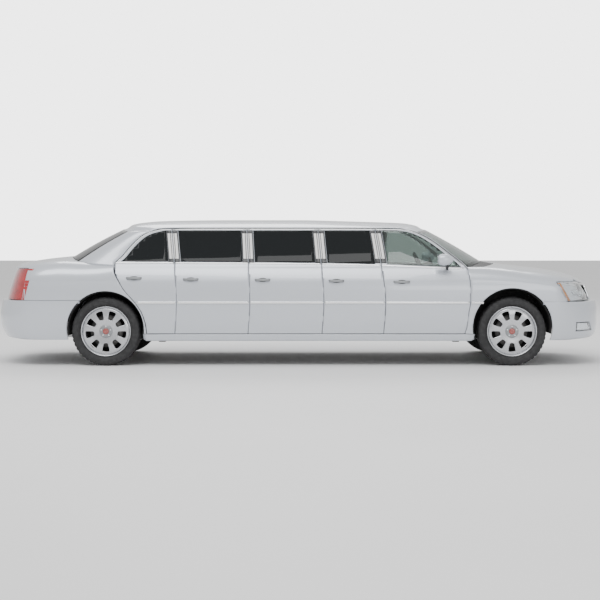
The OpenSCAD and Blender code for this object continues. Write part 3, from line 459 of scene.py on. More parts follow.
def make_materials():
    m = {}
    paint = material("pearl_paint", (0.56, 0.59, 0.64), 0.32, 0.35, Coat_Weight=1.0, Coat_Roughness=0.03)
    m["paint"] = add_bump(vary_color(paint, 900, (0.54, 0.57, 0.62), (0.6, 0.63, 0.68)), 900, 0.0002, 0.06)
    m["chrome"] = vary_rough(material("chrome", (0.82, 0.83, 0.84), 0.08, 1), 30, 0.05, 0.12)
    m["rim"] = vary_rough(material("rim_alloy", (0.5, 0.51, 0.53), 0.25, 0.85, Coat_Weight=0.6), 60, 0.16,
                          0.28)
    # Darker copy of the rim alloy: painted shade on the door handles, which are chrome in shade; it also
    # makes the lug rings darker than the rim face.
    m["alloy_shade_dark"] = vary_rough(material("alloy_dark_painted_shade", (0.3, 0.31, 0.32), 0.4, 0.8), 60, 0.35, 0.5)
    m["dark_glass"] = vary_rough(material("dark_glass", (0.008, 0.01, 0.011), 0.02, 0, IOR=1.4,
                                          Transmission_Weight=0.12, Specular_IOR_Level=0.3), 4, 0.01, 0.03)
    m["clear_glass"] = vary_rough(material("front_glass", (0.42, 0.5, 0.47), 0.02, 0, IOR=1.45,
                                           Transmission_Weight=0.95), 4, 0.01, 0.03)
    m["lens"] = vary_rough(material("clear_lens", (0.95, 0.97, 0.98), 0.02, 0, IOR=1.45,
                                    Transmission_Weight=0.97), 6, 0.01, 0.03)
    red = material("red_lens", (0.5, 0.01, 0.015), 0.06, 0, Coat_Weight=1.0, Transmission_Weight=0.25)
    m["red"] = vary_color(red, 18, (0.36, 0.006, 0.01), (0.6, 0.015, 0.02))
    m["amber"] = vary_color(material("amber_lens", (0.8, 0.25, 0.02), 0.08, 0, Coat_Weight=1.0), 30,
                            (0.7, 0.2, 0.02), (0.85, 0.3, 0.03))
    m["reflector"] = vary_rough(material("reflector", (0.85, 0.87, 0.9), 0.12, 1), 40, 0.08, 0.18)
    tyre = material("tyre_rubber", (0.018, 0.018, 0.019), 0.75)
    m["tyre"] = add_bump(vary_color(tyre, 25, (0.013, 0.013, 0.014), (0.03, 0.03, 0.031)), 260, 0.0006, 0.4)
    seal = material("seal_rubber", (0.012, 0.012, 0.013), 0.55)
    m["seal"] = add_bump(vary_color(seal, 40, (0.01, 0.01, 0.011), (0.018, 0.018, 0.019)), 400, 0.0003, 0.3)
    under = material("underbody", (0.02, 0.02, 0.021), 0.8)
    m["under"] = add_bump(vary_color(under, 12, (0.014, 0.014, 0.015), (0.032, 0.031, 0.03)), 90, 0.002,
                          0.5)
    iron = material("cast_iron", (0.12, 0.12, 0.12), 0.55, 0.8)
    m["iron"] = add_bump(vary_color(iron, 20, (0.09, 0.09, 0.09), (0.17, 0.165, 0.16)), 140, 0.0012, 0.5)
    m["steel"] = add_bump(vary_rough(material("steel", (0.5, 0.5, 0.5), 0.35, 1), 50, 0.25, 0.45), 90,
                          0.0006, 0.3)
    leather = material("leather", (0.055, 0.05, 0.047), 0.45, 0, Sheen_Weight=0.15)
    m["leather"] = add_bump(vary_color(leather, 14, (0.045, 0.041, 0.038), (0.07, 0.064, 0.06)), 340,
                            0.0012, 0.45,
                            kind="cells")
    dash = material("dash_plastic", (0.05, 0.05, 0.05), 0.6)
    m["dash"] = add_bump(vary_color(dash, 20, (0.04, 0.04, 0.04), (0.06, 0.06, 0.06)), 500, 0.0007, 0.4,
                         kind="cells")
    carpet = material("carpet", (0.035, 0.035, 0.037), 0.95, 0, Sheen_Weight=0.4)
    m["carpet"] = add_bump(vary_color(carpet, 260, (0.025, 0.025, 0.026), (0.05, 0.05, 0.052)), 700, 0.003,
                           0.8)
    liner = material("headliner", (0.5, 0.49, 0.46), 0.9, 0, Sheen_Weight=0.3)
    m["liner"] = add_bump(vary_color(liner, 160, (0.45, 0.44, 0.41), (0.54, 0.53, 0.5)), 800, 0.001, 0.5)
    m["cap"] = vary_color(material("cap_enamel", (0.32, 0.07, 0.06), 0.15, 0.2, Coat_Weight=1.0), 60,
                          (0.28, 0.06, 0.05), (0.36, 0.08, 0.07))
    m["white_bar"] = vary_color(material("white_bar", (0.85, 0.85, 0.84), 0.25, 0, Coat_Weight=0.8), 80,
                                (0.82, 0.82, 0.81), (0.88, 0.88, 0.87))
    m["pillar"] = vary_rough(material("pillar_grey", (0.045, 0.047, 0.05), 0.4, 0, Coat_Weight=0.15), 50,
                             0.25, 0.4)
    m["floor"] = add_bump(vary_color(material("studio_floor", (0.86, 0.86, 0.86), 0.6), 0.6,
                                     (0.845, 0.845, 0.845), (0.87, 0.87, 0.87)), 30, 0.0005, 0.1)
    return m

MAT = make_materials()

# ---- body panels ----
def span(a, b, n):
    return [a + (b - a) * k / n for k in range(n + 1)]

def skin(offset=0):
    """Place on the body side, with edges that lean in step with the door gaps."""
    def place(x, z, depth=0):
        return Vector((x + SLANT * depth, side_y(z) - depth - offset, z))
    return place

def door_edges(i):
    rear = rear_line if i == 5 else lambda z: gap_line(i, z)
    front = front_line if i == 1 else lambda z: gap_line(i - 1, z)
    return rear, front

def glass_low(x):
    return belt(x) + 16

def drop_at(z):
    """Extra drop of the doors' sloping edges above the window line."""
    return 6 * min(1, max(0, z - BELT) / 20)

def window_outline(i, grow=0):
    """Window opening of a door, rear edge up and front edge down; grow widens it all round."""
    n = 10
    zr = glass_low(XR + 110 if i == 5 else gap_line(i, BELT))
    zf = glass_low(XF - 500 if i == 1 else gap_line(i - 1, BELT))
    low_r, low_f, top = zr - grow, zf - grow, GLASS_TOP + grow
    if i == 1:
        rear = [(gap_line(1, z) + FRAME_W - grow, z) for z in span(low_r, top, n)]
        front = [(front_line(z + 14 - grow * 0.4) - 34 + grow * 0.8, z) for z in span(top, low_f, 3 * n)]
        front = [(max(x, rear[-1][0] + 5), z) for x, z in front]
    elif i == 5:
        rear = [(rear_line(z + 14 - grow * 0.4) + 34 - grow * 0.8, z) for z in span(low_r, top, 3 * n)]
        front = [(gap_line(4, z) - FRAME_W + grow, z) for z in span(top, low_f, n)]
        rear = [(min(x, front[0][0] - 5), z) for x, z in rear]
    else:
        rear = [(gap_line(i, z) + FRAME_W - grow, z) for z in span(low_r, top, n)]
        front = [(gap_line(i - 1, z) - FRAME_W + grow, z) for z in span(top, low_f, n)]
    return rear + front

def door_outline(i, inset=0):
    rear, front = door_edges(i)
    heights = span(DOOR_LOW + inset, DOOR_TOP - inset, 48)
    behind = drop_at if i == 5 else lambda z: 0
    ahead = drop_at if i == 1 else lambda z: 0
    return ([(rear(z + behind(z)) + GAP / 2 + inset, z) for z in heights]
            + [(front(z + ahead(z)) - GAP / 2 - inset, z) for z in reversed(heights)])

def door_skin(i):
    """Place of a door's shell, kept thin over the hinge arms of the post behind its front edge."""
    base = skin()
    pocket = gap_x(i - 1) - GAP / 2 - HINGE_BACK - 20

    def place(x, z, depth=0):
        if depth > 3 and x > pocket and min(abs(z - h) for h in HINGES) < 27:
            p = base(x, z, 3)
            return Vector((x + SLANT * depth, p.y, z))
        return base(x, z, depth)
    return place

def build_doors():
    for side_name, side in SIDES:
        for i in range(1, 6):
            body = f"door_{i}_{side_name}"
            mesh = thick_panel(body, door_outline(i), [window_outline(i)], door_skin(i), (0, SHELL),
                               (20, 11), side)
            new_object(f"door_shell_{i}_{side_name}", mesh, body, "paint", [body])
            mesh = thick_panel(body, window_outline(i, -0.5), [], skin(), (6, 10), (60, 30), side)
            glass = "clear_glass" if i == 1 else "dark_glass"
            new_object(f"door_glass_{i}_{side_name}", mesh, body, glass, [f"window_{i}_{side_name}"])
            build_door_trim(i, side_name, side, body)

def build_door_trim(i, side_name, side, body):
    """Inner door card with an arm rest, set in from the door's edges."""
    back = rear_line(DOOR_LOW) + 74 if i == 5 else gap_x(i) + 69
    ahead = gap_x(i - 1) - GAP / 2 - 54
    low, high = DOOR_LOW + 28, BELT - 64

    def rear_at(z):
        if i == 5:
            reach = ARCH_R[2] + 64
            dz = z - ARCH_R[1]
            return max(back, XR + math.sqrt(max(0, reach * reach - dz * dz)) if abs(dz) < reach else back)
        return back

    def front_at(z):
        return min(ahead, front_line(z) - 70) if i == 1 else ahead
    heights = span(low, high, 24)
    outline = [(rear_at(z), z) for z in heights] + [(front_at(z), z) for z in reversed(heights)]

    def place(x, z, depth):
        rest = max(0, 1 - abs(z - 700) / 46)
        return Vector((x, side_y(z) - depth - (0 if depth < 60 else 26 * rest ** 0.5 - 30), z))
    mesh = thick_panel(body, outline, [], place, (SHELL - 0.5, DOOR_T), (60, 14), side)
    new_object(f"door_card_{i}_{side_name}", mesh, body, "leather")

# fenders, quarter panels and sills
def arc(center, radius, a0, a1, n):
    return [(center[0] + radius * cosd(a), center[1] + radius * sind(a)) for a in span(a0, a1, n)]

def arch_points(arch, z_rear, z_front, n=40):
    """Edge of a wheel arch from the height z_front ahead of the wheel over to z_rear behind it."""
    a0 = math.degrees(math.asin((z_front - arch[1]) / arch[2]))
    a1 = 180 - math.degrees(math.asin((z_rear - arch[1]) / arch[2]))
    return arc(arch, arch[2], a0, a1, n)

LAMP_TOP_Z = 846
LAMP_TOP_X = XF + 455
LAMP_LOW_X = XF + 560
TAIL_LAMP_TOP = BELT - 30

def build_fenders():
    low = DOOR_LOW - GAP / 2
    door_side = [(front_line(z) + GAP / 2, z) for z in span(low, 984, 40)]
    top_x0 = door_side[-1][0]
    seam = SEAM_F + 5
    arch = arch_points(ARCH_F, low, seam)
    outline = [(x, fender_s(x, z)) for x, z in door_side]
    outline += [(x, 2) for x in span(top_x0 + 20, XF + 660, 30)]
    outline += [(x, fender_s(x, LAMP_TOP_Z + 4)) for x in span(XF + 640, LAMP_TOP_X, 8)]
    outline += [(x, fender_s(x, mix(LAMP_TOP_Z, seam, (x - LAMP_TOP_X) / (LAMP_LOW_X - LAMP_TOP_X))))
                for x in span(LAMP_TOP_X + 6, LAMP_LOW_X, 10)]
    outline += [(x, fender_s(x, z)) for x, z in arch]
    for side_name, side in SIDES:
        mesh = thick_panel("fender", outline, [], fender_at, (0, PANEL), (26, 0.05), side)
        nodes = ["front_fenders"] if side == 1 else []
        new_object(f"front_fender_{side_name}", mesh, "root", "paint", nodes)

def build_quarters():
    low = DOOR_LOW - GAP / 2
    seam = SEAM_R + 5
    door_side = [(rear_line(z) - GAP / 2, z) for z in span(low, BELT - 9, 40)]
    arch = arch_points(ARCH_R, seam, low)
    outline = [(x, quarter_s(x, z)) for x, z in arch]
    lamp_low, lamp_top = XR - 845, XR - 790
    outline += [(x, quarter_s(x, seam)) for x in span(arch[-1][0] - 30, lamp_low, 8)]
    outline += [(mix(lamp_low, lamp_top, t), quarter_s(mix(lamp_low, lamp_top, t),
                                                       mix(seam, TAIL_LAMP_TOP, t)))
                for t in span(0.08, 1, 8)]
    outline += [(x, quarter_s(x, TAIL_LAMP_TOP + 3)) for x in span(lamp_top - 20, TAIL + 250, 5)]
    outline += [(x, 2) for x in span(TAIL + 215, XR + 84, 36)]
    outline += [(x, quarter_s(x, z)) for x, z in reversed(door_side)]
    for side_name, side in SIDES:
        mesh = thick_panel("quarter", outline, [], quarter_at, (0, PANEL), (26, 0.05), side)
        nodes = ["quarter_panels"] if side == 1 else []
        new_object(f"quarter_panel_{side_name}", mesh, "root", "paint", nodes)
        rows = [[rear_post(t, v, 0) for t in span(0, 1, 16)] for v in span(0, 1, 24)]
        inner = [[rear_post(t, v, PANEL) for t in span(0, 1, 16)] for v in span(0, 1, 24)]
        new_object(f"rear_post_{side_name}", grid_panel("sail", rows, inner, side), "root", "paint")

def rear_post(t, v, depth):
    z = mix(BELT - 8, CANT - 22, v)
    a = Vector((rear_line(z) - GAP / 2 - 1, side_y(z), z))
    b = back_light(1, v) - Vector((0.4, 0, 0))
    c = Vector((mix(a.x, b.x, 0.8), side_y(z) - 4, mix(z, b.z, 0.3)))
    p = bezier(a, c, b, t)
    return p + Vector((0.25 * t + SLANT * (1 - t), -(1 - 0.5 * t), -0.6 * t)) * depth if depth else p

def front_post(t, v, depth):
    z = mix(BELT - 34, CANT - 20, v)
    a = Vector((front_line(z) + GAP / 2 + 1, side_y(z), z))
    b = shield(1, v) + Vector((0.4, 0, 0))
    c = Vector((mix(a.x, b.x, 0.75), mix(side_y(z), b.y, 0.1), mix(z, b.z, 0.7)))
    p = bezier(b, c, a, t)
    return p + Vector((-0.3 * (1 - t) + SLANT * t, -(0.4 + 0.6 * t), -(1 - t))) * depth if depth else p

def build_posts():
    for side_name, side in SIDES:
        rows = [[front_post(t, v, 0) for t in span(0, 1, 12)] for v in span(0, 1, 30)]
        inner = [[front_post(t, v, PANEL) for t in span(0, 1, 12)] for v in span(0, 1, 30)]
        nodes = ["windshield_pillars"] if side == 1 else []
        new_object(f"front_post_{side_name}", grid_panel("post", rows, inner, side), "root", "paint", nodes)

def build_sills():
    front = XF - ARCH_F[2] + 12
    rear = XR + ARCH_R[2] - 8
    top = DOOR_LOW - GAP
    outline = [(rear, top), (rear + 4, SILL + 30), (rear + 30, SILL + 14), (front - 30, SILL + 14),
               (front - 4, SILL + 30), (front, top)]
    for side_name, side in SIDES:
        mesh = thick_panel("sill", outline, [], skin(), (0, 43), (80, 10), side)
        nodes = ["rocker_panels"] if side == 1 else []
        new_object(f"sill_{side_name}", mesh, "root", "paint", nodes)
        for x in (XR + 560, XF - 560):
            pad = box_mesh("jack_pad", (x - 35, HALF_W - 180, SILL), (x + 35, HALF_W - 110, SILL + 19),
                           side)
            new_object(f"jack_pad_{int(x > 0)}_{side_name}", add_bevel_mesh(pad), "root", "seal")
        rail = box_mesh("sill_inner", (rear + 20, HALF_W - 222, SILL + 15),
                        (front - 20, HALF_W - 90, SILL + 19), side)
        new_object(f"sill_inner_{side_name}", rail, "root", "under")

def add_bevel_mesh(mesh, width=4):
    bm = bmesh.new()
    bm.from_mesh(mesh)
    bmesh.ops.bevel(bm, geom=bm.edges[:], offset=width * MM, segments=3, affect="EDGES", profile=0.5)
    bm.to_mesh(mesh)
    bm.free()
    return mesh

def roof_front(u):
    a = abs(u)
    p = shield(min(a, 0.8) / 0.8, 1)
    if a > 0.8:
        p = p.lerp(Vector((XF - 1010, side_y(CANT - 22), CANT - 20)), (a - 0.8) / 0.2)
    return p

def roof_rear(u):
    a = abs(u)
    p = back_light(min(a, 0.8) / 0.8, 1)
    if a > 0.8:
        p = p.lerp(Vector((XR + 440, side_y(CANT - 22), CANT - 22)), (a - 0.8) / 0.2)
    return p

X0, X1 = XR + 71, XF - 799
roof_mid = smooth([(X0, -96), (XR + 159, -51), (XR + 281, -27), (XR + 487, -10), (XR + 760, -4),
                   (XR + 1169, 0),
                   (XF - 2136, 0), (XF - 1667, -11), (XF - 1259, -23), (XF - 1053, -32), (XF - 917, -54),
                   (XF - 838, -82), (X1, -102)])
roof_edge = smooth([(0, CANT - 22), (ROOF_BLEND, CANT - 2), (0.1, CANT + 4), (0.9, CANT + 4), (0.963, CANT),
                    (1, CANT - 20)])

def roof_at(u, w, depth=0):
    a = abs(u)
    front, rear = roof_front(u), roof_rear(u)
    ends = front if w > 0.5 else rear
    blend = min(1, min(w, 1 - w) / ROOF_BLEND)
    zs = roof_edge(w)
    mid = ROOF + roof_mid(mix(X0, X1, w))
    x = mix(rear.x, front.x, w)
    y = mix(ends.y, a * side_y(min(zs, CANT)), blend)
    z = mix(ends.z, mid - (mid - zs) * a ** 3, blend)
    thick = 1 + (depth - 1) * (1 - a ** 6) if depth else 0
    return Vector((x, math.copysign(y, u) * (1 - depth / 760), z - thick))

def build_roof():
    us = span(-1, 1, 44)
    ws = span(0, 0.12, 14) + span(0.12, 0.86, 26)[1:] + span(0.86, 1, 16)[1:]
    rows = [[roof_at(u, w) for u in us] for w in ws]
    inner = [[roof_at(u, w, PANEL) for u in us] for w in ws]
    new_object("roof_panel", grid_panel("roof", rows, inner), "root", "paint", ["roof"])
    low = [[roof_at(u * 0.96, mix(0.012, 0.988, w), PANEL + 4) for u in us] for w in ws]
    new_object("headliner", grid_panel("headliner", low), "root", "liner")

def pane(point, depth, v0=0.004, v1=0.994):
    rows = [[point(u * 0.995, v) for u in span(-1, 1, 30)] for v in span(v0, v1, 14)]
    inner = [[p + Vector((0, -p.y * 0.008, -depth * 1.6)) for p in row] for row in rows]
    return grid_panel("pane", rows, inner)

def build_end_glass():
    new_object("windshield_pane", pane(shield, 5), "root", "clear_glass", ["windshield"])
    new_object("rear_pane", pane(back_light, 5), "root", "dark_glass", ["rear_window"])

def hood_at(u, w, depth=0):
    x0 = mix(XF - 82, XF + 863, w)
    x = mix(XF - 82 - 190 * u * u, XF + 863 - 193 * abs(u) ** 2.2, w)
    z = mix(hood_mid(x0), hood_mid(x), u * u) - HOOD_CROWN * u * u
    crease = 5 * math.exp(-((abs(u) - 0.62) / 0.06) ** 2) * math.sin(math.pi * min(1, max(0, w)))
    return Vector((x - 0.3 * w * depth, u * (hood_edge(x) - GAP / 2) * (1 - depth / 1600),
                   z - depth + crease))

def build_hood():
    us, ws = span(-1, 1, 40), span(0, 1, 44)
    rows = [[hood_at(u, w) for u in us] for w in ws]
    inner = [[hood_at(u, w, HOOD_T) for u in us] for w in ws]
    new_object("hood_panel", grid_panel("hood", rows, inner), "hood", "paint", ["hood"])

LID_LINE = [(XR - 465, 81), (XR - 710, 56), (XR - 900, 27), (TAIL + 203, 11), (TAIL + 178, -20),
            (TAIL + 145, -137), (TAIL + 107, -258), (TAIL + 84, -342)]
LID_RISE = (45, 32, 27, 26, 18, 6, 2, 0)
LID_BOW = (150, 90, 40, 42, 46, 50, 50, 50)
LID_WIDTH = (690, 640, 575, 545, 520, 500, 495, 490)

def build_trunk():
    keys = range(len(LID_LINE))
    curves = [smooth([(k, v) for k, v in zip(keys, values)]) for values in
              ([p[0] for p in LID_LINE], [p[1] for p in LID_LINE], LID_RISE, LID_BOW, LID_WIDTH)]

    def at(k, u, depth=0):
        x, z, rise, bow, width = (c(k) for c in curves)
        inward = 0 if k < 2.5 else min(1, (k - 2.5) / 1.0)
        return Vector((x + bow * u * u + depth * inward, u * (width - GAP / 2) * (1 - depth / 1000),
                       BELT + z - rise * u * u - depth * (1 - inward * 0.85)))
    us = span(-1, 1, 36)
    ks = span(0, 7, 56)
    rows = [[at(k, u) for u in us] for k in ks]
    inner = [[at(k, u, PANEL) for u in us] for k in ks]
    new_object("trunk_panel", grid_panel("trunk", rows, inner), "trunk_lid", "paint", ["trunk_lid"])

# bumpers: the second parameter is the height, and above the seam how far the ledge goes in
def bumper_place(front):
    seam = SEAM_F if front else SEAM_R - 4
    reach = LEDGE[front]
    base = nose_set if front else tail_set

    def place(q, r, depth=0):
        a = 90 - abs(q)
        ledge = min(max(0, r - seam), reach)
        low = SEAM_LOW[front]
        turn = min(1, max(0, (low + 12 - r) / 12))
        z = min(r, seam) + 5 * (1 - (1 - ledge / reach) ** 2)
        setback = base(min(r, seam)) + ledge + turn * 60
        drop = depth * (1 if ledge > 4 else ledge / 4)
        p = wrap(front, a, z - drop + depth * turn * 0.5, setback, depth)
        return Vector((p.x, math.copysign(p.y, q), p.z))
    return place, seam, reach

def side_angle(front, x):
    start = ROUND_F if front else ROUND_R
    run = (x - start) if front else (start - x)
    if run <= 0:
        return 90 - run / 10
    total = (NOSE if front else -TAIL) - abs(start)
    n = END_POWER[front]
    return 90 - math.degrees(math.asin((run / total) ** (n / 2)))

def build_bumper(front):
    place, seam, reach = bumper_place(front)
    low = SEAM_LOW[front]
    arch = ARCH_F if front else ARCH_R
    heights = span(low, seam + 5, 26)
    edge = []
    for z in heights:
        dx = math.sqrt(max(0, arch[2] ** 2 - (z - arch[1]) ** 2)) + 1
        edge.append((side_angle(front, arch[0] + (dx if front else -dx)), z))
    top = seam + reach
    right = edge + [(edge[-1][0], top)]
    outline = right + [(-q, z) for q, z in reversed(right)]
    holes = []
    if front:
        mouth = [(-16, 300), (16, 300), (19, 340), (16, 382), (-16, 382), (-19, 340)]
        fog = [(41, 342), (67, 342), (67, 436), (48, 436)]
        holes = [mouth, fog, [(-q, z) for q, z in reversed(fog)]]
    mesh = thick_panel("bumper", outline, holes, place, (0, PANEL), (2, 12))
    name = "front_bumper" if front else "rear_bumper"
    new_object(f"{name}_cover", mesh, "root", "paint", [name])

# ---- trim on the body side ----
def proud(rise, low, high):
    """Place for a strip that stands off the skin, rounded between two heights."""
    def place(x, z, depth=0):
        t = (2 * z - low(x) - high(x)) / (high(x) - low(x))
        bulge = rise * max(0, 1 - t * t) ** 0.5 + 1 if depth == 0 else -1.5
        return Vector((x, side_y(z) + bulge, z))
    return place

def strip(name, body, side, x0, x1, low, high, rise):
    """Bright strip along the body side."""
    xs = span(x0, x1, 24)
    outline = [(x, low(x)) for x in xs] + [(x, high(x)) for x in reversed(xs)]
    mesh = thick_panel(name, outline, [], proud(rise, low, high), (0, 1), (40, 3), side)
    new_object(name, mesh, body, "chrome")

HANDLES = {1: (950, 1110, 843), 2: (300, 450, 853), 3: (-440, -290, 863), 4: (-1160, -1010, 868),
           5: (-1730, -1580, 880)}

def build_handles():
    for side_name, side in SIDES:
        for i, (x0, x1, z) in HANDLES.items():
            path = [Vector((mix(x0, x1, t), side_y(z) - 3 + 27 * math.sin(math.pi * t) ** 0.4, z))
                    for t in span(0, 1, 22)]
            mesh = tube("handle", path, ellipse(5, 13, 14), side)
            # dark grey handle: painted shade on a chrome handle
            new_object(f"door_handle_{i}_{side_name}", mesh, f"door_{i}_{side_name}", "alloy_shade_dark")
            # near-black sheet just proud of the door skin round the handle: painted shade of the handle
            # recess
            shade_patch = [(mix(x0, x1, 0.5) + 52 * math.cos(a), z + 20 * math.sin(a))
                   for a in [2 * math.pi * k / 28 for k in range(28)]]
            mesh = thick_panel("handle_shade_patch", shade_patch, [], skin(-0.6), (0, 1.5), (20, 10), side)
            new_object(f"handle_shade_patch_{i}_{side_name}", mesh, f"door_{i}_{side_name}", "seal")

def build_mouldings():
    low, high = (lambda x: MOULDING[0]), (lambda x: MOULDING[1])
    for side_name, side in SIDES:
        for i in range(1, 6):
            rear, front = door_edges(i)
            x0, x1 = rear(634) + GAP / 2 + 3, front(634) - GAP / 2 - 3
            body = f"door_{i}_{side_name}"
            strip(f"side_moulding_{i}_{side_name}", body, side, x0, x1, low, high, 7)
            edge = rear(BELT) + GAP / 2 + 4, front(BELT) - GAP / 2 - 4
            strip(f"belt_strip_{i}_{side_name}", body, side, *edge, lambda x: belt(x) - 1,
                  lambda x: belt(x) + 13, 4)
        x1 = XF - math.sqrt(ARCH_F[2] ** 2 - (660 - ARCH_F[1]) ** 2) - 6
        strip(f"side_moulding_fender_{side_name}", "root", side, front_line(634) + GAP / 2 + 3, x1, low,
              high, 7)

def build_window_chrome():
    """Bright line round the whole window band, one length on each door."""
    top = CANT - 13
    for side_name, side in SIDES:
        for i in range(1, 6):
            rear, front = door_edges(i)
            reach = GAP / 2 + 7
            x0 = rear(top + drop_at(top)) + reach if i == 5 else gap_line(i, top) + GAP / 2 + 2
            x1 = front(top + drop_at(top)) - reach if i == 1 else gap_line(i - 1, top) - GAP / 2 - 2
            path = [(x, top) for x in span(x0, x1, 16)]
            if i == 1:
                path += [(front_line(z + drop_at(z)) - reach, z) for z in span(top - 4, BELT + 4, 30)]
            if i == 5:
                path = [(rear_line(z + drop_at(z)) + reach, z) for z in span(BELT + 34, top - 4, 30)] + path
            points = [Vector((x, side_y(z) + 1.5, z)) for x, z in path]
            mesh = tube("window_chrome", points, ellipse(4.5, 3, 10), side, Vector((0, 1, 0)))
            new_object(f"window_chrome_{i}_{side_name}", mesh, f"door_{i}_{side_name}", "chrome")

def slant_band(name, body, side, line, a, b, z0, z1, rise, look):
    """Flat band beside a door gap, from a to b ahead of the gap's line."""
    heights = span(z0, z1, 12)
    outline = [(line(z) + a, z) for z in heights] + [(line(z) + b, z) for z in reversed(heights)]

    def place(x, z, depth=0):
        return Vector((x, side_y(z) + (rise if depth == 0 else -1), z))
    new_object(name, thick_panel(name, outline, [], place, (0, 1), (40, 30), side), body, look)

def build_pillar_bands():
    """Dark bands over the door posts, with two white bars on each side of the gap."""
    z0, z1 = BELT + 17, CANT - 20
    for side_name, side in SIDES:
        for i in range(1, 5):
            line = lambda z, i=i: gap_line(i, z)
            ahead, behind = f"door_{i}_{side_name}", f"door_{i + 1}_{side_name}"
            edge = GAP / 2 + 0.5
            slant_band(f"pillar_band_{i}a_{side_name}", ahead, side, line, edge, FRAME_W - 1, z0, z1, 1.2,
                       "pillar")
            slant_band(f"pillar_band_{i}b_{side_name}", behind, side, line, -FRAME_W + 1, -edge, z0, z1,
                       1.2,
                       "pillar")
            bars = ((behind, -47, -22), (behind, -15, -edge - 0.5), (ahead, edge + 0.5, 15),
                    (ahead, 22, 47))
            for k, (body, a, b) in enumerate(bars):
                slant_band(f"pillar_bar_{i}{'abcd'[k]}_{side_name}", body, side, line, a, b, BELT + 64,
                           CANT - 51,
                           4, "white_bar")

def build_door_posts():
    """Posts inside the door gaps, the sill rail and the arms of the door hinges."""
    def plain(x, z, depth):
        return Vector((x, side_y(z) - depth, z))
    ahead = CABIN_F + 22
    for side_name, side in SIDES:
        for i in range(1, 6):
            x = gap_x(i - 1)
            x1 = ahead if i == 1 else x + 45
            low = [(x - 45, SILL + 110), (x1, SILL + 110), (x1, BELT - 72), (x - 45, BELT - 72)]
            nodes = ["door_pillars"] if (i, side) == (1, 1) else ()
            new_object(f"door_post_{i}_{side_name}",
                       thick_panel("post", low, [], plain, (70, 118), (30, 40), side),
                       "root", "seal", nodes)
            if i > 1:
                heights = span(BELT - 71, CANT - 27, 10)
                high = ([(gap_line(i - 1, z) - 32, z) for z in heights]
                        + [(gap_line(i - 1, z) + 32, z) for z in reversed(heights)])
                new_object(f"window_post_{i}_{side_name}",
                           thick_panel("post", high, [], plain, (70, 110), (30, 40), side), "root", "dash")
            hinge = x - GAP / 2 - HINGE_BACK
            for k, z in enumerate(HINGES):
                arm = box_mesh("arm", (hinge - 7, HALF_W - 94, z - 18), (hinge + 7, HALF_W - 19, z + 18),
                               side)
                new_object(f"hinge_arm_{i}{'ab'[k]}_{side_name}", add_bevel_mesh(arm, 3), "root", "iron")
        rail = [(CABIN_R - 300, SILL + 61), (ahead, SILL + 61), (ahead, DOOR_LOW + 14),
                (CABIN_R - 300, DOOR_LOW + 14)]
        new_object(f"sill_rail_{side_name}", thick_panel("rail", rail, [], plain, (45, 147), (90, 20),
                                                         side), "root",
                   "seal")

def build_wheelhouse_walls():
    """Inner walls of the wheel arches, open round the arms and the axle."""
    for side_name, side in SIDES:
        for end, arch, y, reach in (("front", ARCH_F, 503, 70), ("rear", ARCH_R, 556, 66)):
            outline = arc(arch, arch[2] - 14, 4, 176, 40)
            outline += [(arch[0] - arch[2] + 14, 250), (arch[0] + arch[2] - 14, 250)]
            hub = [(arch[0] - reach, 252), (arch[0] + reach, 252), (arch[0] + reach, HUB_Z + 140),
                   (arch[0] - reach, HUB_Z + 140)]
            mesh = thick_panel("wall", outline, [hub], lambda x, z, d, y=y: Vector((x, y - d, z)), (0, 3),
                               (60, 60),
                               side)
            new_object(f"wheelhouse_wall_{end}_{side_name}", mesh, "root", "under")

def rounded(center, radii, side, shape=None, segments=40, rings=24):
    bm = bmesh.new()
    bmesh.ops.create_uvsphere(bm, u_segments=segments, v_segments=rings, radius=1)
    for v in bm.verts:
        p = shape(v.co.copy()) if shape else v.co
        v.co = Vector(flip_y([center[k] + p[k] * radii[k] for k in range(3)], side))
    return finish_mesh("rounded", bm)

def build_mirrors():
    x, y, z = CABIN_F - 258, HALF_W + 36, BELT + 56

    def teardrop(p):
        taper = 1 - 0.3 * (p.x + 1) / 2
        return Vector((max(p.x, -0.86), p.y * taper, p.z * taper))
    for side_name, side in SIDES:
        body = f"door_1_{side_name}"
        new_object(f"mirror_{side_name}", rounded((x, y, z), (84, 56, 68), side, teardrop), body, "paint")
        face = rounded((x - 73.5, y, z), (3, 46, 52), side)
        new_object(f"mirror_glass_{side_name}", face, body, "reflector")
        foot = [Vector((x + 30, side_y(BELT - 20) - 4, BELT - 22)), Vector((x + 30, HALF_W - 30, BELT - 8)),
                Vector((x + 20, HALF_W, BELT + 16)), Vector((x + 12, HALF_W + 20, BELT + 34))]
        new_object(f"mirror_foot_{side_name}", tube("foot", foot, ellipse(34, 15, 20), side,
                                                    Vector((1, 0, 0))), body,
                   "seal")

# ---- wheels ----
def wheel_centers():
    for end, x in (("front", XF), ("rear", XR)):
        for side_name, side in SIDES:
            yield f"{end}_{side_name}", (x, TYRE_Y, HUB_Z), side, end

def tyre_mesh(center, side):
    half = TYRE_W / 2
    right = [(262, half - 20), (268, half - 8), (282, half - 1), (300, half), (318, half - 2),
             (330, half - 8),
             (339, half - 18), (343, half - 30)]
    tread = [(344, 78), (344, 60), (337, 58), (337, 51), (344.6, 49), (344.8, 22), (337, 20), (337, 13),
             (345, 11)]
    outer = right + tread
    profile = [(253, half - 24)] + outer + [(r, -h) for r, h in reversed(outer)] + [(253, -half + 24)]
    deep = {k for k, (r, h) in enumerate(profile) if r > 338.5 and abs(h) > 58}
    turns = 180
    bm = bmesh.new()
    rings = []
    for k in range(turns):
        a = 2 * math.pi * k / turns
        rings.append([])
        for j, (r, h) in enumerate(profile):
            rr = r - (6 if k % 4 == 0 and j in deep else 0)
            rings[-1].append(bm.verts.new(flip_y((center[0] + rr * math.cos(a), center[1] + h,
                                                  center[2] + rr * math.sin(a)), side)))
    join_rings(bm, rings)
    return finish_mesh("tyre", bm)

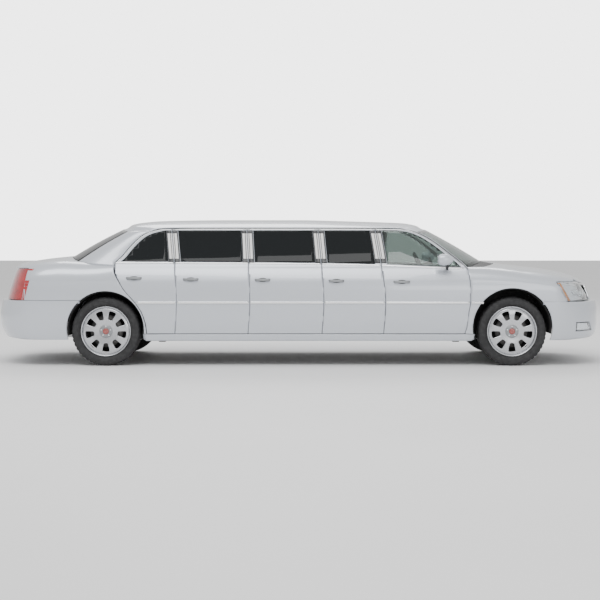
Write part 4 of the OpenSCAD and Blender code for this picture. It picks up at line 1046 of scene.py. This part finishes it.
def wheel_face(center, side):
    outline = [(238 * cosd(a), 238 * sind(a)) for a in span(0, 360, 108)[:-1]]
    holes = []
    for k in range(SPOKES):
        turn = 90 + (k + 0.5) * 360 / SPOKES
        corners = [(120, -17), (126, -23), (192, -36), (204, -31), (208, 0), (204, 31), (192, 36),
                   (126, 23),
                   (120, 17), (117, 0)]
        holes.append([(r * cosd(turn) - t * sind(turn), r * sind(turn) + t * cosd(turn)) for r,
                      t in corners])

    def place(a, b, depth):
        r = math.hypot(a, b)
        bulge = 8 * math.exp(-((r - 150) / 70) ** 2) - 10 * max(0, (r - 205) / 33) ** 2
        return Vector((center[0] + a, center[1] + 86 + bulge - depth, center[2] + b))
    return thick_panel("wheel_face", outline, holes, place, (0, 15), (14, 14), side)

def build_wheels():
    for name, center, side, end in wheel_centers():
        body = f"wheel_{name}"
        new_object(f"tyre_{name}_tread", tyre_mesh(center, side), body, "tyre", [f"tyre_{name}"])
        new_object(f"rim_face_{name}", wheel_face(center, side), body, "rim", [f"wheel_{name}"])
        barrel = [(252, 97), (246, 98), (239, 92), (237, 78), (238, 60), (228, 30), (226, -60), (238, -90),
                  (246, -97),
                  (252, -95), (244, -80), (236, -50), (238, 30), (246, 70)]
        new_object(f"rim_barrel_{name}", lathe("barrel", barrel, center, side), body, "rim")
        # near-black lining just inside the rim barrel: painted shade inside the wheel
        barrel_shade_lining = [(225, 62), (225.8, 62), (225.8, -62), (225, -62)]
        new_object(f"rim_barrel_shade_{name}", lathe("barrel_shade_lining", barrel_shade_lining, center, side), body, "under")
        plate = [(42, -27), (150, -33), (214, -36), (214, -39), (150, -36), (42, -30)]
        carrier = f"knuckle_{name.split('_')[1]}" if end == "front" else "root"
        new_object(f"dust_plate_{name}", lathe("dust_plate", plate, center, side), carrier, "under")
        hub = [(36, 98), (62, 96), (66, 92), (66, 84), (30, 84), (30, 96)]
        new_object(f"lug_ring_{name}", lathe("lug_ring", hub, center, side), body, "alloy_shade_dark")
        for k in range(5):
            a = 90 + 72 * k
            place = (center[0] + 49 * cosd(a), center[1] + 97, center[2] + 49 * sind(a))
            nut = rounded(place, (8, 7, 8), side, lambda p: Vector((p.x, max(-0.5, min(0.7, p.y)), p.z)),
                          12, 8)
            new_object(f"lug_nut_{k + 1}_{name}", nut, body, "chrome")
        cap = [(0.5, 103), (16, 102), (26, 100), (31, 96), (31, 84), (0.5, 84)]
        new_object(f"centre_cap_{name}", lathe("cap", cap, center, side, 48), body, "cap")
        disc = [(60, 13), (60, 32), (163, 32), (164, 30), (164, 26), (150, 25), (150, 20), (164, 19),
                (164, 15),
                (163, 13)]
        new_object(f"brake_disc_{name}", lathe("disc", disc, center, side), body, "iron")

# ---- lamps and grille ----
def grille_x(y, z):
    return NOSE - 54 - 65 * (z - 600) / 207 - 30 * (y / 372) ** 2

def build_grille():
    low, high, half = SEAM_F + 10, 790, 368
    columns, rows, bar = 14, 4, 7
    frame = 16
    outline = [(-half + 10, low), (half - 10, low), (half, low + 14), (half - 14, high - 12),
               (half - 34, high),
               (-half + 34, high), (-half + 14, high - 12), (-half, low + 14)]
    dy = (2 * half - 2 * frame - 24) / columns
    dz = (high - low - 2 * frame) / rows
    holes = []
    for c in range(columns):
        for r in range(rows):
            y0, z0 = -half + frame + 12 + c * dy + bar / 2, low + frame + r * dz + bar / 2
            y1, z1 = y0 + dy - bar, z0 + dz - bar
            holes.append([(y0, z0), (y1, z0), (y1, z1), (y0, z1)])

    def place(y, z, depth):
        edge = min(half - abs(y), z - low, high - z)
        return Vector((grille_x(y, z) - depth - (6 if edge > frame else 0), y, z))
    mesh = thick_panel("grille", outline, holes, place, (0, 26), (40, 40))
    new_object("grille_bars", mesh, "root", "chrome", ["grille"])
    back = thick_panel("grille_back", outline, [], lambda y, z,
                       d: Vector((grille_x(y, z) - 46 - d, y * 0.99, z)),
                       (0, 8), (60, 30))
    new_object("grille_screen", back, "root", "seal")

def end_place(front, base):
    def place(q, z, depth=0):
        p = wrap(front, 90 - abs(q), z, base(z), depth)
        return Vector((p.x, math.copysign(p.y, q), p.z))
    return place

def lens_outline(inner, outer, low, high, n=16):
    heights = span(0, 1, n)
    return ([(inner(v), mix(low, high(0), v)) for v in heights]
            + [(mix(inner(1), outer(1), t), high(t)) for t in span(0, 1, 12)[1:]]
            + [(outer(v), mix(low, high(1), v)) for v in reversed(heights)][1:])

def build_nose_panel():
    """Dark panel behind the lamps and the grille, under the hood's front edge."""
    outline = [(q, SEAM_F + 12) for q in span(-56, 56, 40)] + [(q, 786) for q in span(56, -56, 40)]
    mesh = thick_panel("nose_panel", outline, [], end_place(True, face_set), (62, 66), (3, 30))
    new_object("nose_panel", mesh, "root", "seal")

def build_lamps():
    place = end_place(True, face_set)
    low = SEAM_F + 9
    top = lambda t: mix(805, 845, t ** 0.8)
    outer = lambda v: side_angle(True, mix(XF + 562, XF + 462, v)) - 1.5
    inner = lambda v: 25 - 1.5 * v
    for side_name, side in SIDES:
        shape = lens_outline(inner, outer, low, top)
        new_object(f"headlamp_lens_{side_name}", thick_panel("lens", shape, [], place, (0, 4), (2.5, 16),
                                                             side), "root",
                   "lens", ["headlamps"] if side == 1 else ())
        back = lens_outline(lambda v: inner(v) + 0.8, lambda v: outer(v) - 1.2, low + 4,
                            lambda t: top(t) - 5)
        new_object(f"headlamp_bowl_{side_name}", thick_panel("bowl", back, [], place, (46, 49), (2.5, 16),
                                                             side),
                   "root", "reflector")
        for k, q in enumerate((33, 42, 52)):
            p = place(q, mix(708, 736, k / 2), 34)
            lamp = rounded(p, (16, 30 - 2 * k, 30 - 2 * k), side)
            new_object(f"headlamp_bulb_{k + 1}_{side_name}", lamp, "root", "lens")
            ring = tube("ring", [p + Vector((8, 34 * cosd(a), 34 * sind(a))) for a in span(0, 360,
                                                                                           30)[:-1]],
                        ellipse(3, 3, 8), side, Vector((1, 0, 0)), True)
            new_object(f"headlamp_ring_{k + 1}_{side_name}", ring, "root", "chrome")
        amber = lens_outline(lambda v: outer(v) - 5.5, lambda v: outer(v) - 1.5, low + 6,
                             lambda t: top(0.9) - 8)
        new_object(f"turn_lamp_{side_name}", thick_panel("amber", amber, [], place, (7, 10), (2.5, 16),
                                                         side), "root",
                   "amber")
        base = end_place(True, nose_set)
        fog = [(42, 346), (66, 346), (66, 432), (49, 432)]
        new_object(f"fog_lens_{side_name}", thick_panel("fog", fog, [], base, (5, 8), (2.5, 12), side),
                   "root",
                   "lens")
        fog = [(42.5, 349), (65.5, 349), (65.5, 429), (49.5, 429)]
        new_object(f"fog_bowl_{side_name}", thick_panel("fog", fog, [], base, (17, 20), (2.5, 12), side),
                   "root",
                   "reflector")

    place = end_place(False, back_set)
    low = SEAM_R + 6
    top = lambda t: mix(TAIL_LAMP_TOP - 12, TAIL_LAMP_TOP - 6, t)
    outer = lambda v: side_angle(False, mix(XR - 843, XR - 792, v)) - 1.2
    inner = lambda v: mix(25.3, 27.4, v)
    for side_name, side in SIDES:
        shape = lens_outline(inner, outer, low, top)
        new_object(f"tail_lens_{side_name}", thick_panel("tail", shape, [], place, (0, 8), (2.5, 12), side),
                   "root",
                   "red", ["tail_lamps"] if side == 1 else ())
        back = lens_outline(lambda v: inner(v) + 0.8, lambda v: outer(v) - 1.5, low + 4,
                            lambda t: top(t) - 5)
        new_object(f"tail_bowl_{side_name}", thick_panel("tail_bowl", back, [], place, (24, 27), (2.5, 12),
                                                         side),
                   "root", "reflector")

# ---- inside ----
def cushion(name, low, high, body, replaces=(), crown=22, channels=(), lean=0, radius=46, axis=2):
    """Crowned pad with rounded edges, sewn channels and sides that pull in between the corners."""
    center = [mix(low[k], high[k], 0.5) for k in range(3)]
    half = [(high[k] - low[k]) / 2 for k in range(3)]
    half[axis] -= crown / 2
    bm = bmesh.new()
    bmesh.ops.create_cube(bm, size=2)
    bmesh.ops.subdivide_edges(bm, edges=bm.edges, cuts=21, use_grid_fill=True)
    for v in bm.verts:
        t = v.co.copy()
        p = [t[k] * half[k] for k in range(3)]
        r = min(radius, min(half) * 0.85)
        core = [max(-half[k] + r, min(half[k] - r, p[k])) for k in range(3)]
        out = Vector([p[k] - core[k] for k in range(3)])
        p = Vector(core) + (out.normalized() * r if out.length > 0 else out)
        long = 0 if axis == 2 else 2
        bow = (1 - t[1] ** 2) * (1 - t[long] ** 2)
        face = max(0, t[axis])
        p[axis] += crown * bow * face
        for c in channels:
            p[axis] -= 9 * face * math.exp(-((t[1] - c) * half[1] / 9) ** 2) * (1 - t[long] ** 8)
        p[1] -= 5 * t[1] * (1 - t[long] ** 2)
        p[0] -= lean * (t[2] + 1) / 2
        v.co = Vector(((center[0] + p[0]) * MM, (center[1] + p[1]) * MM, (center[2] + p[2]) * MM))
    obj = new_object(name, finish_mesh(name, bm), body, "leather", replaces)
    return obj

def build_seats():
    x = CABIN_F - 1130
    for side_name, y in (("right", -400), ("left", 400)):
        first = ["front_seats"] if y > 0 else ()
        cushion(f"front_seat_base_{side_name}", (x + 95, y - 255, FLOOR + 60),
                (x + 515, y + 255, FLOOR + 226), "root",
                first, 22, (-0.45, 0.45))
        cushion(f"front_seat_back_{side_name}", (x - 15, y - 250, FLOOR + 232),
                (x + 120, y + 250, FLOOR + 700), "root",
                (), 20, (-0.45, 0.45), 90, 44, 0)
    x = CABIN_R - 150
    seats = (-1, 0, 1)
    for k in seats:
        y = k * 438
        cushion(f"bench_base_{k + 2}", (x + 95, y - 216, FLOOR + 6), (x + 515, y + 216, FLOOR + 226),
                "root",
                ["cabin_seats"] if k == 0 else (), 24, (-0.4, 0.4))
        cushion(f"bench_back_{k + 2}", (x - 15, y - 216, FLOOR + 232), (x + 120, y + 216, FLOOR + 700),
                "root", (), 22,
                (-0.4, 0.4), 90, 44, 0)
    for k in range(2):
        x0 = CABIN_R + 503 + 498 * k
        cushion(f"side_seat_base_{k + 1}", (x0, HALF_W - 558, FLOOR + 4),
                (x0 + 492, HALF_W - 194, FLOOR + 226), "root",
                (), 20, (0,))
        cushion(f"side_seat_back_{k + 1}", (x0, HALF_W - 298, FLOOR + 232),
                (x0 + 492, HALF_W - 184, FLOOR + 552),
                "root", (), 8, (), 0, 40)
    for side_name, y in (("right", -400), ("left", 400)):
        base = box_mesh("seat_base", (CABIN_F - 1000, y - 200, FLOOR + 2),
                        (CABIN_F - 660, y + 200, FLOOR + 58), 1, 4)
        new_object(f"seat_plinth_{side_name}", add_bevel_mesh(base, 6), "root", "dash")

def build_carpet():
    outline = [(CABIN_R - 150, -740), (CABIN_F - 330, -740), (CABIN_F - 4, -700), (CABIN_F - 4, 700),
               (CABIN_F - 330, 740), (CABIN_R - 150, 740)]

    def place(x, y, depth):
        return Vector((x, y, FLOOR + 3.4 + 0.8 * math.sin(x / 90) * math.cos(y / 70) - depth))
    new_object("carpet", thick_panel("carpet", outline, [], place, (0, 2.5), (90, 90)), "root", "carpet")

def dress_cad_nodes():
    looks = {"floor_pan": "under", "wheel_liners": "under", "cowl": "seal", "engine": "iron",
             "front_subframe": "iron",
             "rear_axle": "iron", "exhaust": "steel", "dashboard": "dash", "steering_wheel": "dash",
             "knuckle_right": "iron", "knuckle_left": "iron"}
    for node, key in looks.items():
        mesh = frame["nodes"][node].data
        mesh.materials.clear()
        mesh.materials.append(MAT[key])

# ---- build ----
build_doors()
build_fenders()
build_quarters()
build_posts()
build_sills()
build_roof()
build_end_glass()
build_hood()
build_trunk()
build_bumper(True)
build_bumper(False)
build_handles()
build_mouldings()
build_window_chrome()
build_pillar_bands()
build_door_posts()
build_wheelhouse_walls()
build_mirrors()
build_wheels()
build_grille()
build_nose_panel()
build_lamps()
build_seats()
build_carpet()
dress_cad_nodes()

# ---- studio ----
def area_light(name, place, target, size, power, size_y):
    light = bpy.data.lights.new(name, "AREA")
    light.shape = "RECTANGLE"
    light.size = size
    light.size_y = size_y
    light.energy = power
    obj = bpy.data.objects.new(name, light)
    obj.location = place
    obj.rotation_euler = (Vector(target) - Vector(place)).to_track_quat("-Z", "Y").to_euler()
    bpy.context.scene.collection.objects.link(obj)

def build_studio():
    bm = bmesh.new()
    bmesh.ops.create_grid(bm, x_segments=8, y_segments=8, size=60)
    mesh = bpy.data.meshes.new("studio_floor")
    bm.to_mesh(mesh)
    bm.free()
    floor = bpy.data.objects.new("studio_floor", mesh)
    bpy.context.scene.collection.objects.link(floor)
    floor.data.materials.append(MAT["floor"])
    world = bpy.data.worlds.new("studio")
    bpy.context.scene.world = world
    world.use_nodes = True
    tree = world.node_tree
    tree.nodes["Background"].inputs["Color"].default_value = (1, 1, 1, 1)
    path = tree.nodes.new("ShaderNodeLightPath")
    strength = tree.nodes.new("ShaderNodeMapRange")
    strength.inputs["To Min"].default_value = 0.9
    strength.inputs["To Max"].default_value = 4
    tree.links.new(path.outputs["Is Camera Ray"], strength.inputs["Value"])
    tree.links.new(strength.outputs["Result"], tree.nodes["Background"].inputs["Strength"])
    area_light("key_light", (-2, -6, 10), (0, -0.5, 0.5), 10, 900, 6)
    area_light("fill_light", (5, -12, 3), (1, 0, 0.8), 7, 160, 3)
    area_light("back_light", (0, 8, 8), (0, 0, 1), 10, 500, 4)

def build_camera():
    camera = bpy.data.cameras.new("camera")
    camera.lens = 81
    camera.sensor_width = 36
    camera.shift_x = -0.0155
    camera.shift_y = -0.105
    camera.clip_end = 200
    obj = bpy.data.objects.new("camera", camera)
    obj.location = (0.1035, -14.45, 1.293)
    obj.rotation_euler = (math.pi / 2, 0, 0)
    bpy.context.scene.collection.objects.link(obj)
    bpy.context.scene.camera = obj

build_studio()
build_camera()
